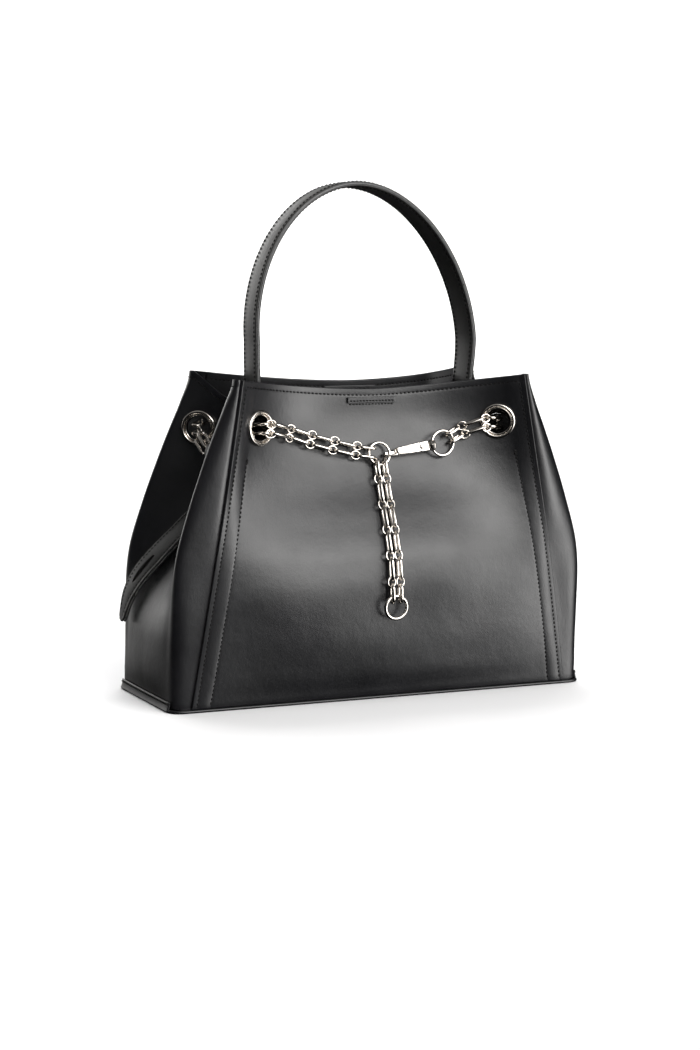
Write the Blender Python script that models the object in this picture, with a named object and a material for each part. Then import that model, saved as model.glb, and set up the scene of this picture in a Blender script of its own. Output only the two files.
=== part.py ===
"""A leather top handle bag with a cinch chain round its mouth.

Everything is in metres. +Z is up, the front of the bag faces -Y, and the origin is at the middle
of the base, on the ground.
"""

import math

import bmesh
import bpy
import numpy as np
from mathutils import Matrix, Vector

# Clearances between pieces that touch
GAP = 0.0003
LINK_PLAY = 0.0008
RING_PLAY = 0.0009
OVERRUN = 0.004

# The shell's driving sizes
BODY_HEIGHT = 0.226
BASE_HALF_WIDTH = 0.1575
TOP_HALF_WIDTH = 0.1105
BASE_HALF_DEPTH = 0.0565
TOP_HALF_DEPTH = 0.0480
TOP_LEAN = 0.0145
SIDE_BOW = 0.0035
CORNER_BASE_REACH = 0.0135
CORNER_TOP_REACH = 0.0025
SEAM_BASE_HALF_WIDTH = BASE_HALF_WIDTH - CORNER_BASE_REACH
SEAM_TOP_HALF_WIDTH = TOP_HALF_WIDTH - CORNER_TOP_REACH
MOUTH_PINCH = 0.030
BELLY = 0.0065
FOLD_DEPTH = 0.044
CORNER_BASE_DEPTH = 0.014
CORNER_TOP_DEPTH = 0.0085
FACE_DIP = 0.0095
GUSSET_DIP = 0.028

# How the shell's curves run, as shares of the sizes above
pinch_power = 2.8
dip_power = 1.6
corner_base_pull_share = 0.62
corner_top_pull_share = 0.45
width_shares = (
    (0, 0.97),
    (0.08, 0.99),
    (0.2, 0.985),
    (0.33, 0.95),
    (0.44, 0.88),
    (0.6, 0.67),
    (0.73, 0.47),
    (0.83, 0.30),
    (0.92, 0.13),
    (1, 0),
)
pinch_shares = ((0, 0), (0.3, 0), (0.44, 0.05), (0.56, 0.3), (0.69, 0.68), (0.77, 0.85), (0.9, 1), (1, 1))
belly_shares = ((0, 0), (0.1, 0.65), (0.22, 1), (0.34, 0.95), (0.5, 0.35), (0.65, 0), (1, 0))
fold_shares = (
    (0, 0),
    (0.11, -0.05),
    (0.22, -0.02),
    (0.33, 0.12),
    (0.44, 0.375),
    (0.55, 0.66),
    (0.66, 0.93),
    (0.77, 1),
    (0.82, 0.92),
    (0.88, 0.79),
    (1, 0.58),
)
face_column_shares = (0, 0.25, 0.5, 0.7, 0.84, 0.925, 1)
corner_column_shares = (0.33, 0.67, 1)
side_column_shares = (0.25, 0.5, 0.75, 1)
row_shares = (0, 0.03, 0.16, 0.33, 0.5, 0.67, 0.78, 0.89, 1)
facing_row_shares = (0.67, 0.78, 0.89, 1)
band_row_shares = (0, 0.03)
facing_end_share = 0.92
board_column_shares = (0, 0.5, 1, 1.33, 1.67, 2, 2.5, 3)

# Leather and board
PANEL_THICKNESS = 0.0020
GUSSET_THICKNESS = 0.0020
BASE_THICKNESS = 0.0024
BOARD_THICKNESS = 0.0022
LINING_THICKNESS = 0.0010
LINING_EASE = 0.0030
BASE_BAND_THICKNESS = 0.0016
BASE_RIM = 0.0008
lining_row_shares = (0, 0.25, 0.7)
lining_ease_shares = (1, 1.3, 0.7)

# Magnet closure and the welt sewn over it
MAGNET_RADIUS = 0.0085
MAGNET_THICKNESS = 0.0022
MAGNET_DROP = 0.016
magnet_round = 12
magnet_edge_share = 0.7
magnet_top_share = 0.88
PATCH_HALF_WIDTH = 0.020
PATCH_HEIGHT = 0.026
PATCH_THICKNESS = 0.0012
PATCH_TOP_DROP = 0.0035
WELT_HALF_WIDTH = 0.0185
WELT_HEIGHT = 0.0042
WELT_THICKNESS = 0.0011
WELT_DROP = 0.0055

# Eyelets
EYELET_RADIUS = 0.0125
EYELET_BORE_RADIUS = 0.0092
EYELET_TUBE_WALL = 0.0008
EYELET_DOME = 0.0013
EYELET_SEAT = 0.0016
FOLD_EYELET_SEAT = 0.0020
WASHER_THICKNESS = 0.0009
EYELET_DROP = 0.0335
FOLD_EYELET_DROP = 0.0040
EYELET_HEIGHT = BODY_HEIGHT - EYELET_DROP
FOLD_EYELET_HEIGHT = EYELET_HEIGHT - FOLD_EYELET_DROP
eyelet_round = 12
rivet_round = 8
rivet_crown_share = 0.7
eyelet_crown_share = 0.5
eyelet_lip_share = 0.5
face_eyelet_share = 0.815
front_fold_eyelet_share = 0.62
rear_fold_eyelet_share = 0.77
back_eyelet_share = 0.865

# Handle
HANDLE_WIDTH = 0.022
STRAP_THICKNESS = 0.0016
HANDLE_SET_IN = 0.0020
HANDLE_LEG_HEIGHT = 0.064
HANDLE_ARCH_RISE = 0.110
RIVET_DROP = 0.012
RIVET_HEIGHT = BODY_HEIGHT - GUSSET_DIP - RIVET_DROP
HANDLE_SPRING_HEIGHT = RIVET_HEIGHT + HANDLE_LEG_HEIGHT
RIVET_SHAFT_RADIUS = 0.0020
RIVET_HEAD_RADIUS = 0.0040
RIVET_HEAD_HEIGHT = 0.0014
handle_power = 2.2
handle_lean_share = 0.035
handle_steps = 12

# Chain
LINK_WIRE = 0.0015
LINK_SPACING = 0.0088
LINK_RING_HALF = 0.0021
LINK_EDGE_HALF = 0.0026
STRAND_OFFSET = 0.0030
CHAIN_STANDOFF = 0.0072
BACK_CHAIN_STANDOFF = 0.0086
ring_shoulder_shares = (0.25, 0.75)
edge_shoulder_shares = (0.19, 0.81)
plain_shoulder_shares = (0.5,)

# Where the chain passes an eyelet, as far along the leather from its middle and out from the skin
RIM_ALONG = 0.0106
RIM_OUT = 0.0088
RIM_SHIFT = 0.0016
MOUTH_ALONG = 0.0036
MOUTH_OUT = 0.0049
MOUTH_SHIFT = 0.0012
INSIDE_ALONG = 0.0006
INSIDE_IN = 0.0030
FOLD_EYELET_REACH = 0.0041
ear_drop_share = 0.3

# Rings on the chain
RING_SHIFT = 0.0019
CHAIN_SAG = 0.0209
CENTRE_RING_HEIGHT = EYELET_HEIGHT - CHAIN_SAG
CENTRE_RING_RADIUS = 0.0079
CENTRE_RING_WIRE = 0.0017
HANGING_LENGTH = 0.1051
END_RING_HEIGHT = CENTRE_RING_HEIGHT - HANGING_LENGTH
END_RING_RADIUS = 0.0080
END_RING_WIRE = 0.0025
CLASP_RING_RADIUS = 0.0088
CLASP_RING_WIRE = 0.0020
ring_round = 16
wire_round = 5

# Clasp, measured along its own length from the centre ring's wire
CLASP_LENGTH = 0.0258
CLASP_HEIGHT = 0.0055
CLASP_FRONT = 0.0026
CLASP_BACK = 0.0036
CLASP_THROAT = 0.0062
CLASP_THROAT_FRONT = 0.0013
CLASP_THROAT_BACK = 0.0011
CLASP_TIP = 0.0013
BOLT_HEIGHT = 0.0024
BOLT_THICKNESS = 0.0013
BOLT_LENGTH = 0.0125
BOLT_TRAVEL = 0.0040
KNOB_NECK = 0.0014
KNOB_LENGTH = 0.0034
KNOB_THICKNESS = 0.0010
SWIVEL_PIN_RADIUS = 0.0011
SWIVEL_PIN_LENGTH = 0.0040
SWIVEL_BLOCK = 0.0052
SWIVEL_HEIGHT = 0.0082
swivel_round = 8
swivel_shoulder_shares = (0.3, 0.8)
CLASP_RISE = 0.0048
CLASP_END_STANDOFF = 0.0100
CLASP_RING_STANDOFF = 0.0070

# Leather tag that hangs on the chain in the left fold
TAG_WIDTH = 0.0165
TAG_PLY = 0.0018
TAG_SLOT_LENGTH = 0.026
TAG_SLOT_WIDTH = 0.0026
TAG_LOOP_INNER_HALF = 0.0078
TAG_LOOP_INNER_SIDE = 0.0052
TAG_LOOP_THICKNESS = 0.0014
TAG_LOOP_WIDTH = 0.0085
TAG_LOOP_CLEAR = 0.0012
TAG_REST_OUT = 0.0050
tag_loop_round = 12
tag_slot_share = 0.74
tag_rest_shares = ((0.62, 0.12), (0.513, 0.24), (0.442, 0.41), (0.376, 0.60), (0.31, 0.76), (0.23, 0.86))
tag_width_shares = (
    (0, 0.6),
    (0.1, 0.8),
    (0.2, 0.95),
    (0.3, 1),
    (0.4, 1),
    (0.5, 1),
    (0.6, 0.98),
    (0.7, 0.93),
    (0.8, 0.84),
    (0.9, 0.68),
    (0.97, 0.5),
    (1, 0.3),
)

# Where the chain hangs
FOLD_CHAIN_SAG = 0.017
BACK_CHAIN_SAG = 0.009
chain_front_left_shares = ((0.21, 0.16), (0.56, 0.55), (0.72, 0.76))
chain_front_right_shares = (0.32, 0.53)


def clear_scene():
    for old in list(bpy.data.objects):
        bpy.data.objects.remove(old, do_unlink=True)


def material(name, colour, roughness, metallic):
    made = bpy.data.materials.new(name)
    made.use_nodes = True
    shader = made.node_tree.nodes["Principled BSDF"]
    shader.inputs["Base Color"].default_value = (*colour, 1)
    shader.inputs["Roughness"].default_value = roughness
    shader.inputs["Metallic"].default_value = metallic
    made.diffuse_color = (*colour, 1)
    return made


def black_leather(name):
    return material(name, (0.012, 0.012, 0.014), 0.42, 0)


def edge_leather(name):
    return material(name, (0.016, 0.016, 0.018), 0.5, 0)


def lining_cloth(name):
    return material(name, (0.05, 0.048, 0.046), 0.85, 0)


def grey_board(name):
    return material(name, (0.22, 0.20, 0.18), 0.9, 0)


def bright_metal(name):
    return material(name, (0.83, 0.80, 0.75), 0.16, 1)


def steel(name):
    return material(name, (0.60, 0.60, 0.60), 0.3, 1)


def lerp(a, b, s):
    return a + (b - a) * s


def smooth(shares, at):
    """Reads a table of (place, share) rows as one smooth curve that never overshoots."""
    places = [row[0] for row in shares]
    values = [row[1] for row in shares]
    slopes = [
        (values[i + 1] - values[i]) / (places[i + 1] - places[i]) for i in range(len(shares) - 1)
    ]
    tangents = [0.0]
    for before, after in zip(slopes, slopes[1:]):
        flat = before * after <= 0
        tangents.append(0.0 if flat else 2 * before * after / (before + after))
    tangents.append(0.0)
    at = min(max(at, places[0]), places[-1])
    i = next(k for k in range(len(slopes)) if at <= places[k + 1])
    span = places[i + 1] - places[i]
    s = (at - places[i]) / span
    rise = 3 * s**2 - 2 * s**3
    start = (s**3 - 2 * s**2 + s) * span * tangents[i]
    end = (s**3 - s**2) * span * tangents[i + 1]
    return lerp(values[i], values[i + 1], rise) + start + end


def unit(v):
    return v / np.linalg.norm(v)


def seam_half_width(z):
    return lerp(SEAM_BASE_HALF_WIDTH, SEAM_TOP_HALF_WIDTH, z / BODY_HEIGHT)


def centre_line(z):
    return -TOP_LEAN * z / BODY_HEIGHT


def skin_place(q, z, side, face):
    """A point of the shell's skin at height z.

    q goes round one quarter of the plan: 0 to 1 along the front or back from its middle to the
    seam, 1 to 2 round the corner, and 2 to 3 along the gusset to the middle of its fold. side is
    -1 for the left and 1 for the right, face is -1 for the front and 1 for the back.
    """
    rise = z / BODY_HEIGHT
    half_depth = lerp(BASE_HALF_DEPTH, TOP_HALF_DEPTH, rise) + SIDE_BOW * math.sin(math.pi * rise)
    side_depth = half_depth - lerp(CORNER_BASE_DEPTH, CORNER_TOP_DEPTH, rise)
    seam = seam_half_width(z)
    pinch = MOUTH_PINCH * smooth(pinch_shares, rise)
    belly = BELLY * smooth(belly_shares, rise)
    edge = lerp(TOP_HALF_WIDTH, BASE_HALF_WIDTH, smooth(width_shares, rise))
    fold = FOLD_DEPTH * smooth(fold_shares, rise)
    if q <= 1:
        x = seam * q
        depth = half_depth - pinch * (1 - q**pinch_power) + belly * (1 - q**2)
    elif q >= 2:
        w = 3 - q
        x = edge - fold * (1 - w**2)
        depth = side_depth * w
    else:
        s = q - 1
        start = np.array((seam, half_depth))
        end = np.array((edge, side_depth))
        leaving = unit(np.array((seam, pinch * pinch_power - 2 * belly)))
        arriving = unit(np.array((-2 * fold, -side_depth)))
        share = lerp(corner_base_pull_share, corner_top_pull_share, rise)
        pull = share * np.linalg.norm(end - start)
        first = start + pull * leaving
        second = end - pull * arriving
        x, depth = (
            (1 - s) ** 3 * start
            + 3 * s * (1 - s) ** 2 * first
            + 3 * s**2 * (1 - s) * second
            + s**3 * end
        )
    return np.array((side * x, centre_line(z) + face * depth, z))


def skin_normal(q, z, side, face):
    """The direction out of the bag, square to the skin."""
    share = 1 / 1000
    before, after = (q, q + share) if q in (0, 1, 2) else (q - share, q)
    along = skin_place(after, z, side, face) - skin_place(before, z, side, face)
    step = BODY_HEIGHT * share
    up = skin_place(q, z + step, side, face) - skin_place(q, z - step, side, face)
    return unit(np.cross(along, up) * side * -face)


def skin(q, z, side, face, out):
    """A point off the skin, square to it."""
    return skin_place(q, z, side, face) + out * skin_normal(q, z, side, face)


def level_skin(q, z, side, face, out):
    """A point off the skin that stays at height z."""
    normal = skin_normal(q, z, side, face)
    return skin_place(q, z, side, face) + out * unit(normal * (1, 1, 0))


def body_bottom():
    return BASE_THICKNESS + GAP


def top_height(q):
    """How high the shell's top edge is at q."""
    if q <= 1:
        return BODY_HEIGHT - FACE_DIP * (1 - q**dip_power)
    if q >= 2:
        return BODY_HEIGHT - GUSSET_DIP * (1 - (3 - q) ** 2)
    return BODY_HEIGHT


def row_height(q, row):
    return lerp(body_bottom(), top_height(q), row)


def all_rows(q):
    return [row_height(q, row) for row in row_shares]


def facing_rows(q):
    return [row_height(q, row) for row in facing_row_shares]


def band_rows(q):
    return [row_height(q, row) for row in band_row_shares]


def panel_out():
    """How far the outside of the front and back panels stands off the gussets' skin."""
    return GAP + PANEL_THICKNESS


def face_place(x, z, face, out):
    """The point off the front or back that lies at x and z."""
    side = -1 if x < 0 else 1
    return level_skin(abs(x) / seam_half_width(z), z, side, face, out)


def new_object(name, made_mesh, look, at=(0, 0, 0)):
    """Links a mesh drawn in world places as an object whose origin is at a chosen place."""
    made_mesh.transform(Matrix.Translation(-Vector(at)))
    made_mesh.materials.append(look(name + "_look"))
    made_mesh.shade_smooth()
    made_mesh.set_sharp_from_angle(angle=math.radians(40))
    made = bpy.data.objects.new(name, made_mesh)
    made.location = at
    bpy.context.scene.collection.objects.link(made)
    return made


def mesh_from(name, points, faces):
    """A closed mesh with its faces turned outwards."""
    work = bmesh.new()
    corners = [work.verts.new(tuple(float(c) for c in p)) for p in points]
    for face in faces:
        work.faces.new([corners[i] for i in face])
    bmesh.ops.recalc_face_normals(work, faces=work.faces)
    if work.calc_volume(signed=True) < 0:
        bmesh.ops.reverse_faces(work, faces=work.faces)
    made = bpy.data.meshes.new(name)
    work.to_mesh(made)
    work.free()
    return made


def grid_shell(name, outer, inner, look, leans, ring=False, at=(0, 0, 0)):
    """Closes two equal grids of points, the two sides of a sheet, into one solid.

    leans says which way each span's squares are split, so that layers on one skin split alike.
    """
    columns = len(outer)
    rows = len(outer[0])
    points = [p for column in outer for p in column] + [p for column in inner for p in column]
    half = columns * rows
    spans = columns if ring else columns - 1
    faces = []
    for i in range(spans):
        a = i * rows
        b = (i + 1) % columns * rows
        for j in range(rows - 1):
            for k in (0, half):
                low, far = k + a + j, k + b + j
                if leans[i]:
                    faces += [(low, far, far + 1), (low, far + 1, low + 1)]
                else:
                    faces += [(low, far, low + 1), (far, far + 1, low + 1)]
        for j in (0, rows - 1):
            faces.append((a + j, b + j, half + b + j, half + a + j))
    if not ring:
        for a in (0, (columns - 1) * rows):
            for j in range(rows - 1):
                faces.append((a + j, a + j + 1, half + a + j + 1, half + a + j))
    return new_object(name, mesh_from(name, points, faces), look, at)


def sheet(name, columns, heights, inner_out, outer_out, look):
    """A sheet that follows the skin: columns are (q, side, face), heights gives each its rows."""
    grids = [
        [[level_skin(q, z, side, face, out) for z in heights(q)] for q, side, face in columns]
        for out in (outer_out, inner_out)
    ]
    places = [q for q, _, _ in columns]
    leans = [after > before for before, after in zip(places, places[1:])]
    return grid_shell(name, grids[0], grids[1], look, leans)


def face_columns(face, places):
    """Columns across the front or the back, from left to right."""
    left = [(q, -1, face) for q in reversed(places) if q > 0]
    return left + [(q, 1, face) for q in places]


def gusset_quarter():
    flange = list(face_column_shares[-2:])
    corner = [1 + s for s in corner_column_shares]
    side = [2 + s for s in side_column_shares]
    return flange + corner + side


def gusset_columns(side, quarter):
    """Columns round a gusset, from the front to the back."""
    front = [(q, side, -1) for q in quarter]
    return front + [(q, side, 1) for q in reversed(quarter[:-1])]


def add_cutter(name, made_mesh):
    cutter = bpy.data.objects.new(name, made_mesh)
    cutter.hide_render = True
    cutter.display_type = "WIRE"
    bpy.context.scene.collection.objects.link(cutter)
    return cutter


def cut(target, cutter):
    modifier = target.modifiers.new("cut_" + cutter.name, "BOOLEAN")
    modifier.operation = "DIFFERENCE"
    modifier.solver = "EXACT"
    modifier.object = cutter


def frame_on(origin, axis, up):
    """A frame at origin whose Z runs along axis and whose Y leans towards up."""
    z = Vector(axis).normalized()
    x = Vector(up).cross(z).normalized()
    y = z.cross(x)
    frame = Matrix((x, y, z)).transposed().to_4x4()
    frame.translation = Vector(origin)
    return frame


def turned(name, profile, rounds, frame, closed=True):
    """A solid turned from (radius, height) points about the frame's Z."""
    points = []
    for k in range(rounds):
        angle = 2 * math.pi * k / rounds
        for radius, height in profile:
            points.append(frame @ Vector((radius * math.cos(angle), radius * math.sin(angle), height)))
    n = len(profile)
    faces = []
    for k in range(rounds):
        a = k * n
        b = (k + 1) % rounds * n
        for j in range(n if closed else n - 1):
            i = (j + 1) % n
            faces.append((a + j, b + j, b + i, a + i))
    if not closed:
        faces.append([k * n for k in range(rounds)])
        faces.append([k * n + n - 1 for k in range(rounds)])
    return mesh_from(name, points, faces)


def cylinder(name, radius, low, high, rounds, frame):
    return turned(name, [(radius, low), (radius, high)], rounds, frame, closed=False)


def ring_mesh(name, radius, wire, frame, rounds=ring_round, sides=wire_round):
    """A round ring of round wire that lies in the frame's XY plane."""
    profile = [
        (
            radius + wire / 2 * math.cos(2 * math.pi * k / sides),
            wire / 2 * math.sin(2 * math.pi * k / sides),
        )
        for k in range(sides)
    ]
    return turned(name, profile, rounds, frame)


def box_mesh(name, low, high, frame):
    xs, ys, zs = zip(low, high)
    points = [frame @ Vector((x, y, z)) for x in xs for y in ys for z in zs]
    faces = ((0, 1, 3, 2), (4, 6, 7, 5), (0, 4, 5, 1), (2, 3, 7, 6), (0, 2, 6, 4), (1, 5, 7, 3))
    return mesh_from(name, points, faces)


def prism_mesh(name, outline, low, high, frame):
    """An outline in the frame's XY plane, extruded from low to high along its Z."""
    n = len(outline)
    points = [frame @ Vector((x, y, z)) for z in (low, high) for x, y in outline]
    faces = [list(range(n)), list(range(n, 2 * n))]
    faces += [(i, (i + 1) % n, n + (i + 1) % n, n + i) for i in range(n)]
    return mesh_from(name, points, faces)


def make_panels():
    for face, name in ((-1, "front_panel"), (1, "back_panel")):
        columns = face_columns(face, face_column_shares)
        panel = sheet(name, columns, all_rows, GAP, panel_out(), black_leather)
        cut_eyelets(panel, [("face", side, face) for side in (-1, 1)])


def make_facings():
    for face, name in ((-1, "front_facing"), (1, "back_facing")):
        columns = face_columns(face, face_column_shares[:-2] + (facing_end_share,))
        facing = sheet(name, columns, facing_rows, -GUSSET_THICKNESS, 0, edge_leather)
        cut_eyelets(facing, [("face", side, face) for side in (-1, 1)])


def make_gussets():
    for side, name in ((-1, "left_gusset"), (1, "right_gusset")):
        columns = gusset_columns(side, gusset_quarter())
        gusset = sheet(name, columns, all_rows, -GUSSET_THICKNESS, 0, black_leather)
        cut_eyelets(gusset, [("fold", side, -1), ("fold", side, 1), ("face", side, 1)])
        hole = cylinder(
            name + "_rivet_hole",
            RIVET_SHAFT_RADIUS + GAP,
            -OVERRUN,
            OVERRUN,
            rivet_round,
            frame_on(rivet_place(side, fold_width(RIVET_HEIGHT)), (side, 0, 0), (0, 0, 1)),
        )
        cut(gusset, add_cutter(name + "_rivet_cutter", hole))


def plan_ring(height, out, shares):
    """Points right round the shell at one height."""
    quarters = ((1, -1), (1, 1), (-1, 1), (-1, -1))
    points = []
    for k, (side, face) in enumerate(quarters):
        places = shares if k % 2 == 0 else list(reversed(shares))
        points += [level_skin(q, height, side, face, out) for q in places[:-1]]
    return points


def full_quarter():
    corner = [1 + s for s in corner_column_shares]
    side = [2 + s for s in side_column_shares]
    return list(face_column_shares) + corner + side


def base_reach():
    return GAP + BASE_BAND_THICKNESS + BASE_RIM


def make_base():
    low = body_bottom()
    reach = max(base_reach(), panel_out() + BASE_RIM)
    outline = [(p[0], p[1]) for p in plan_ring(low, reach, full_quarter())]
    panel = prism_mesh("base_panel", outline, 0, BASE_THICKNESS, Matrix())
    new_object("base_panel", panel, black_leather)
    inside = -GUSSET_THICKNESS - 2 * GAP
    outline = [(p[0], p[1]) for p in plan_ring(low, inside, board_column_shares)]
    board = prism_mesh("base_board", outline, low, low + BOARD_THICKNESS, Matrix())
    new_object("base_board", board, grey_board)


def make_base_bands():
    """The turned-up strip sewn round the foot of each gusset."""
    quarter = [q for q in gusset_quarter() if q > 1]
    for side, name in ((-1, "left_base_band"), (1, "right_base_band")):
        columns = gusset_columns(side, quarter)
        sheet(name, columns, band_rows, GAP, GAP + BASE_BAND_THICKNESS, edge_leather)


def make_lining():
    """A loose sack that hangs inside the shell and closes over the base board."""
    shares = full_quarter()
    quarters = ((1, -1), (1, 1), (-1, 1), (-1, -1))
    columns = []
    for k, (side, face) in enumerate(quarters):
        places = shares if k % 2 == 0 else list(reversed(shares))
        columns += [(q, side, face) for q in places[:-1]]
    floor = body_bottom() + BOARD_THICKNESS + GAP
    sides = []
    for more in (0, LINING_THICKNESS):
        sides.append([])
        for q, side, face in columns:
            column = []
            for row, ease in zip(lining_row_shares, lining_ease_shares):
                z = max(row_height(q, row), floor + more)
                out = -GUSSET_THICKNESS - 2 * GAP - ease * LINING_EASE - more
                column.append(level_skin(q, z, side, face, out))
            sides[-1].append(column)
    outer, inner = sides
    count = len(columns)
    rows = len(lining_row_shares)
    half = count * rows
    points = [p for column in outer for p in column] + [p for column in inner for p in column]
    faces = [[i * rows for i in range(count)], [half + i * rows for i in range(count)]]
    for i in range(count):
        a = i * rows
        b = (i + 1) % count * rows
        for j in range(rows - 1):
            faces.append((a + j, b + j, b + j + 1, a + j + 1))
            faces.append((half + a + j, half + b + j, half + b + j + 1, half + a + j + 1))
        top = rows - 1
        faces.append((a + top, b + top, half + b + top, half + a + top))
    new_object("lining", mesh_from("lining", points, faces), lining_cloth)


def make_closure():
    """The welt sewn on the front, and a magnet on a leather patch inside each facing."""
    seam = seam_half_width(BODY_HEIGHT)
    across = (0, WELT_HALF_WIDTH / 2 / seam, WELT_HALF_WIDTH / seam)
    high = top_height(0) - WELT_DROP
    sheet(
        "front_welt",
        face_columns(-1, across),
        lambda q: [high - WELT_HEIGHT, high],
        panel_out() + 3 * GAP,
        panel_out() + 3 * GAP + WELT_THICKNESS,
        edge_leather,
    )
    across = (0, PATCH_HALF_WIDTH / 2 / seam, PATCH_HALF_WIDTH / seam)
    high = top_height(0) - PATCH_TOP_DROP
    behind = GUSSET_THICKNESS + 2 * GAP
    for face, name in ((-1, "front"), (1, "back")):
        sheet(
            name + "_magnet_patch",
            face_columns(face, across),
            lambda q: [high - PATCH_HEIGHT, high - PATCH_HEIGHT / 2, high],
            -behind - PATCH_THICKNESS,
            -behind,
            edge_leather,
        )
        z = top_height(0) - MAGNET_DROP
        seat = skin(0, z, 1, face, -behind - PATCH_THICKNESS - 2 * GAP)
        inward = -skin_normal(0, z, 1, face)
        frame = frame_on(seat, inward, (0, 0, 1))
        disc = [
            (MAGNET_RADIUS, 0),
            (MAGNET_RADIUS, MAGNET_THICKNESS * magnet_edge_share),
            (MAGNET_RADIUS * magnet_top_share, MAGNET_THICKNESS),
        ]
        magnet = turned(name + "_magnet", disc, magnet_round, frame, closed=False)
        new_object(name + "_magnet", magnet, steel)


def eyelet_spot(kind, side, face):
    """Where an eyelet's centre lies on the skin, and which way it faces."""
    if kind == "face":
        q = face_eyelet_share if face < 0 else back_eyelet_share
    else:
        q = 3 - (front_fold_eyelet_share if face < 0 else rear_fold_eyelet_share)
    z = EYELET_HEIGHT if kind == "face" else FOLD_EYELET_HEIGHT
    return skin_place(q, z, side, face), skin_normal(q, z, side, face)


def eyelet_layers(kind):
    """How far out and how far in the leather reaches at an eyelet."""
    if kind == "face":
        return panel_out(), GUSSET_THICKNESS
    return 0.0, GUSSET_THICKNESS


def eyelet_seat(kind):
    """How far an eyelet's flat rim stands off the leather, which is curved beneath it."""
    return EYELET_SEAT if kind == "face" else FOLD_EYELET_SEAT


def eyelet_tube_radius():
    return EYELET_BORE_RADIUS + EYELET_TUBE_WALL


def cut_eyelets(target, spots):
    for kind, side, face in spots:
        place, normal = eyelet_spot(kind, side, face)
        outside, inside = eyelet_layers(kind)
        name = eyelet_name(kind, side, face) + "_cutter_" + target.name
        frame = frame_on(place, normal, (0, 0, 1))
        hole = cylinder(
            name, eyelet_tube_radius() + GAP, -inside - OVERRUN, outside + OVERRUN, eyelet_round, frame
        )
        cut(target, add_cutter(name, hole))


def eyelet_name(kind, side, face):
    where = "left" if side < 0 else "right"
    which = "front" if face < 0 else "back"
    return f"{which}_{where}_eyelet" if kind == "face" else f"{where}_{which}_fold_eyelet"


def make_eyelets():
    """Domed rings pressed through the leather, each closed by a washer on the inside."""
    bore = EYELET_BORE_RADIUS
    tube = eyelet_tube_radius()
    for kind in ("face", "fold"):
        outside, inside = eyelet_layers(kind)
        seat = outside + eyelet_seat(kind)
        reach = -inside - 2 * GAP - WASHER_THICKNESS
        for side in (-1, 1):
            for face in (-1, 1):
                name = eyelet_name(kind, side, face)
                place, normal = eyelet_spot(kind, side, face)
                frame = frame_on(place, normal, (0, 0, 1))
                rim = EYELET_RADIUS - bore
                profile = [
                    (tube, reach - GAP),
                    (tube, seat),
                    (EYELET_RADIUS, seat),
                    (bore + rim * eyelet_crown_share, seat + EYELET_DOME),
                    (bore, seat + EYELET_DOME * eyelet_lip_share),
                    (bore, reach - GAP),
                ]
                new_object(name, turned(name, profile, eyelet_round, frame), bright_metal)
                profile = [
                    (tube + GAP, reach),
                    (EYELET_RADIUS - GAP, reach + WASHER_THICKNESS),
                    (tube + GAP, reach + WASHER_THICKNESS),
                ]
                new_object(name + "_washer", turned(name, profile, eyelet_round, frame), steel)


def fold_width(z):
    """How far the middle of the fold lies from the bag's centre plane."""
    return abs(skin_place(3, z, 1, -1)[0])


def handle_y(z):
    return centre_line(RIVET_HEIGHT) - handle_lean_share * (z - RIVET_HEIGHT)


def rivet_place(side, x):
    return Vector((side * x, handle_y(RIVET_HEIGHT), RIVET_HEIGHT))


def rivet_seat():
    """How far the rivet's heads stand off the fold's middle, for their edges to clear its slopes."""
    middle = fold_width(RIVET_HEIGHT)
    rows = all_rows(3)
    edges = np.interp(
        (RIVET_HEIGHT - RIVET_HEAD_RADIUS, RIVET_HEIGHT + RIVET_HEAD_RADIUS),
        rows,
        [fold_width(z) for z in rows],
    )
    up = float(max(abs(edges - middle)))
    x, y, _ = skin_place(3 - side_column_shares[0], RIVET_HEIGHT, 1, 1)
    across = RIVET_HEAD_RADIUS * (x - middle) / (y - centre_line(RIVET_HEIGHT))
    return math.hypot(up, across) + GAP


def handle_stack():
    return 2 * STRAP_THICKNESS + GAP


def handle_half_span():
    """How far each leg of the handle stands from the bag's centre plane."""
    return fold_width(RIVET_HEIGHT) - HANDLE_SET_IN


def handle_leg_x(z):
    """The middle of the strap's thickness along a leg, drawn in towards the rivet."""
    at_rivet = fold_width(RIVET_HEIGHT) - GUSSET_THICKNESS - rivet_seat() - handle_stack() / 2
    up = min(max((z - RIVET_HEIGHT) / (HANDLE_SPRING_HEIGHT - RIVET_HEIGHT), 0), 1)
    return lerp(at_rivet, handle_half_span(), math.sin(up * math.pi / 2) ** 2)


def handle_stations():
    """Places along the strap's middle line: (x, z, half width), from the right end to the left."""
    half = HANDLE_WIDTH / 2
    right = []
    for degrees in (72, 48, 24, 0):
        drop = half * math.sin(math.radians(degrees))
        z = RIVET_HEIGHT - drop
        right.append((handle_leg_x(z), z, half * math.cos(math.radians(degrees))))
    for k in range(1, 5):
        z = lerp(RIVET_HEIGHT, HANDLE_SPRING_HEIGHT, k / 4)
        right.append((handle_leg_x(z), z, half))
    arch = []
    for k in range(1, handle_steps):
        angle = math.pi * k / handle_steps
        power = 2 / handle_power
        x = handle_half_span() * math.copysign(abs(math.cos(angle)) ** power, math.cos(angle))
        z = HANDLE_SPRING_HEIGHT + HANDLE_ARCH_RISE * math.sin(angle) ** power
        arch.append((x, z, half))
    left = [(-x, z, w) for x, z, w in reversed(right)]
    return right + arch + left


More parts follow.
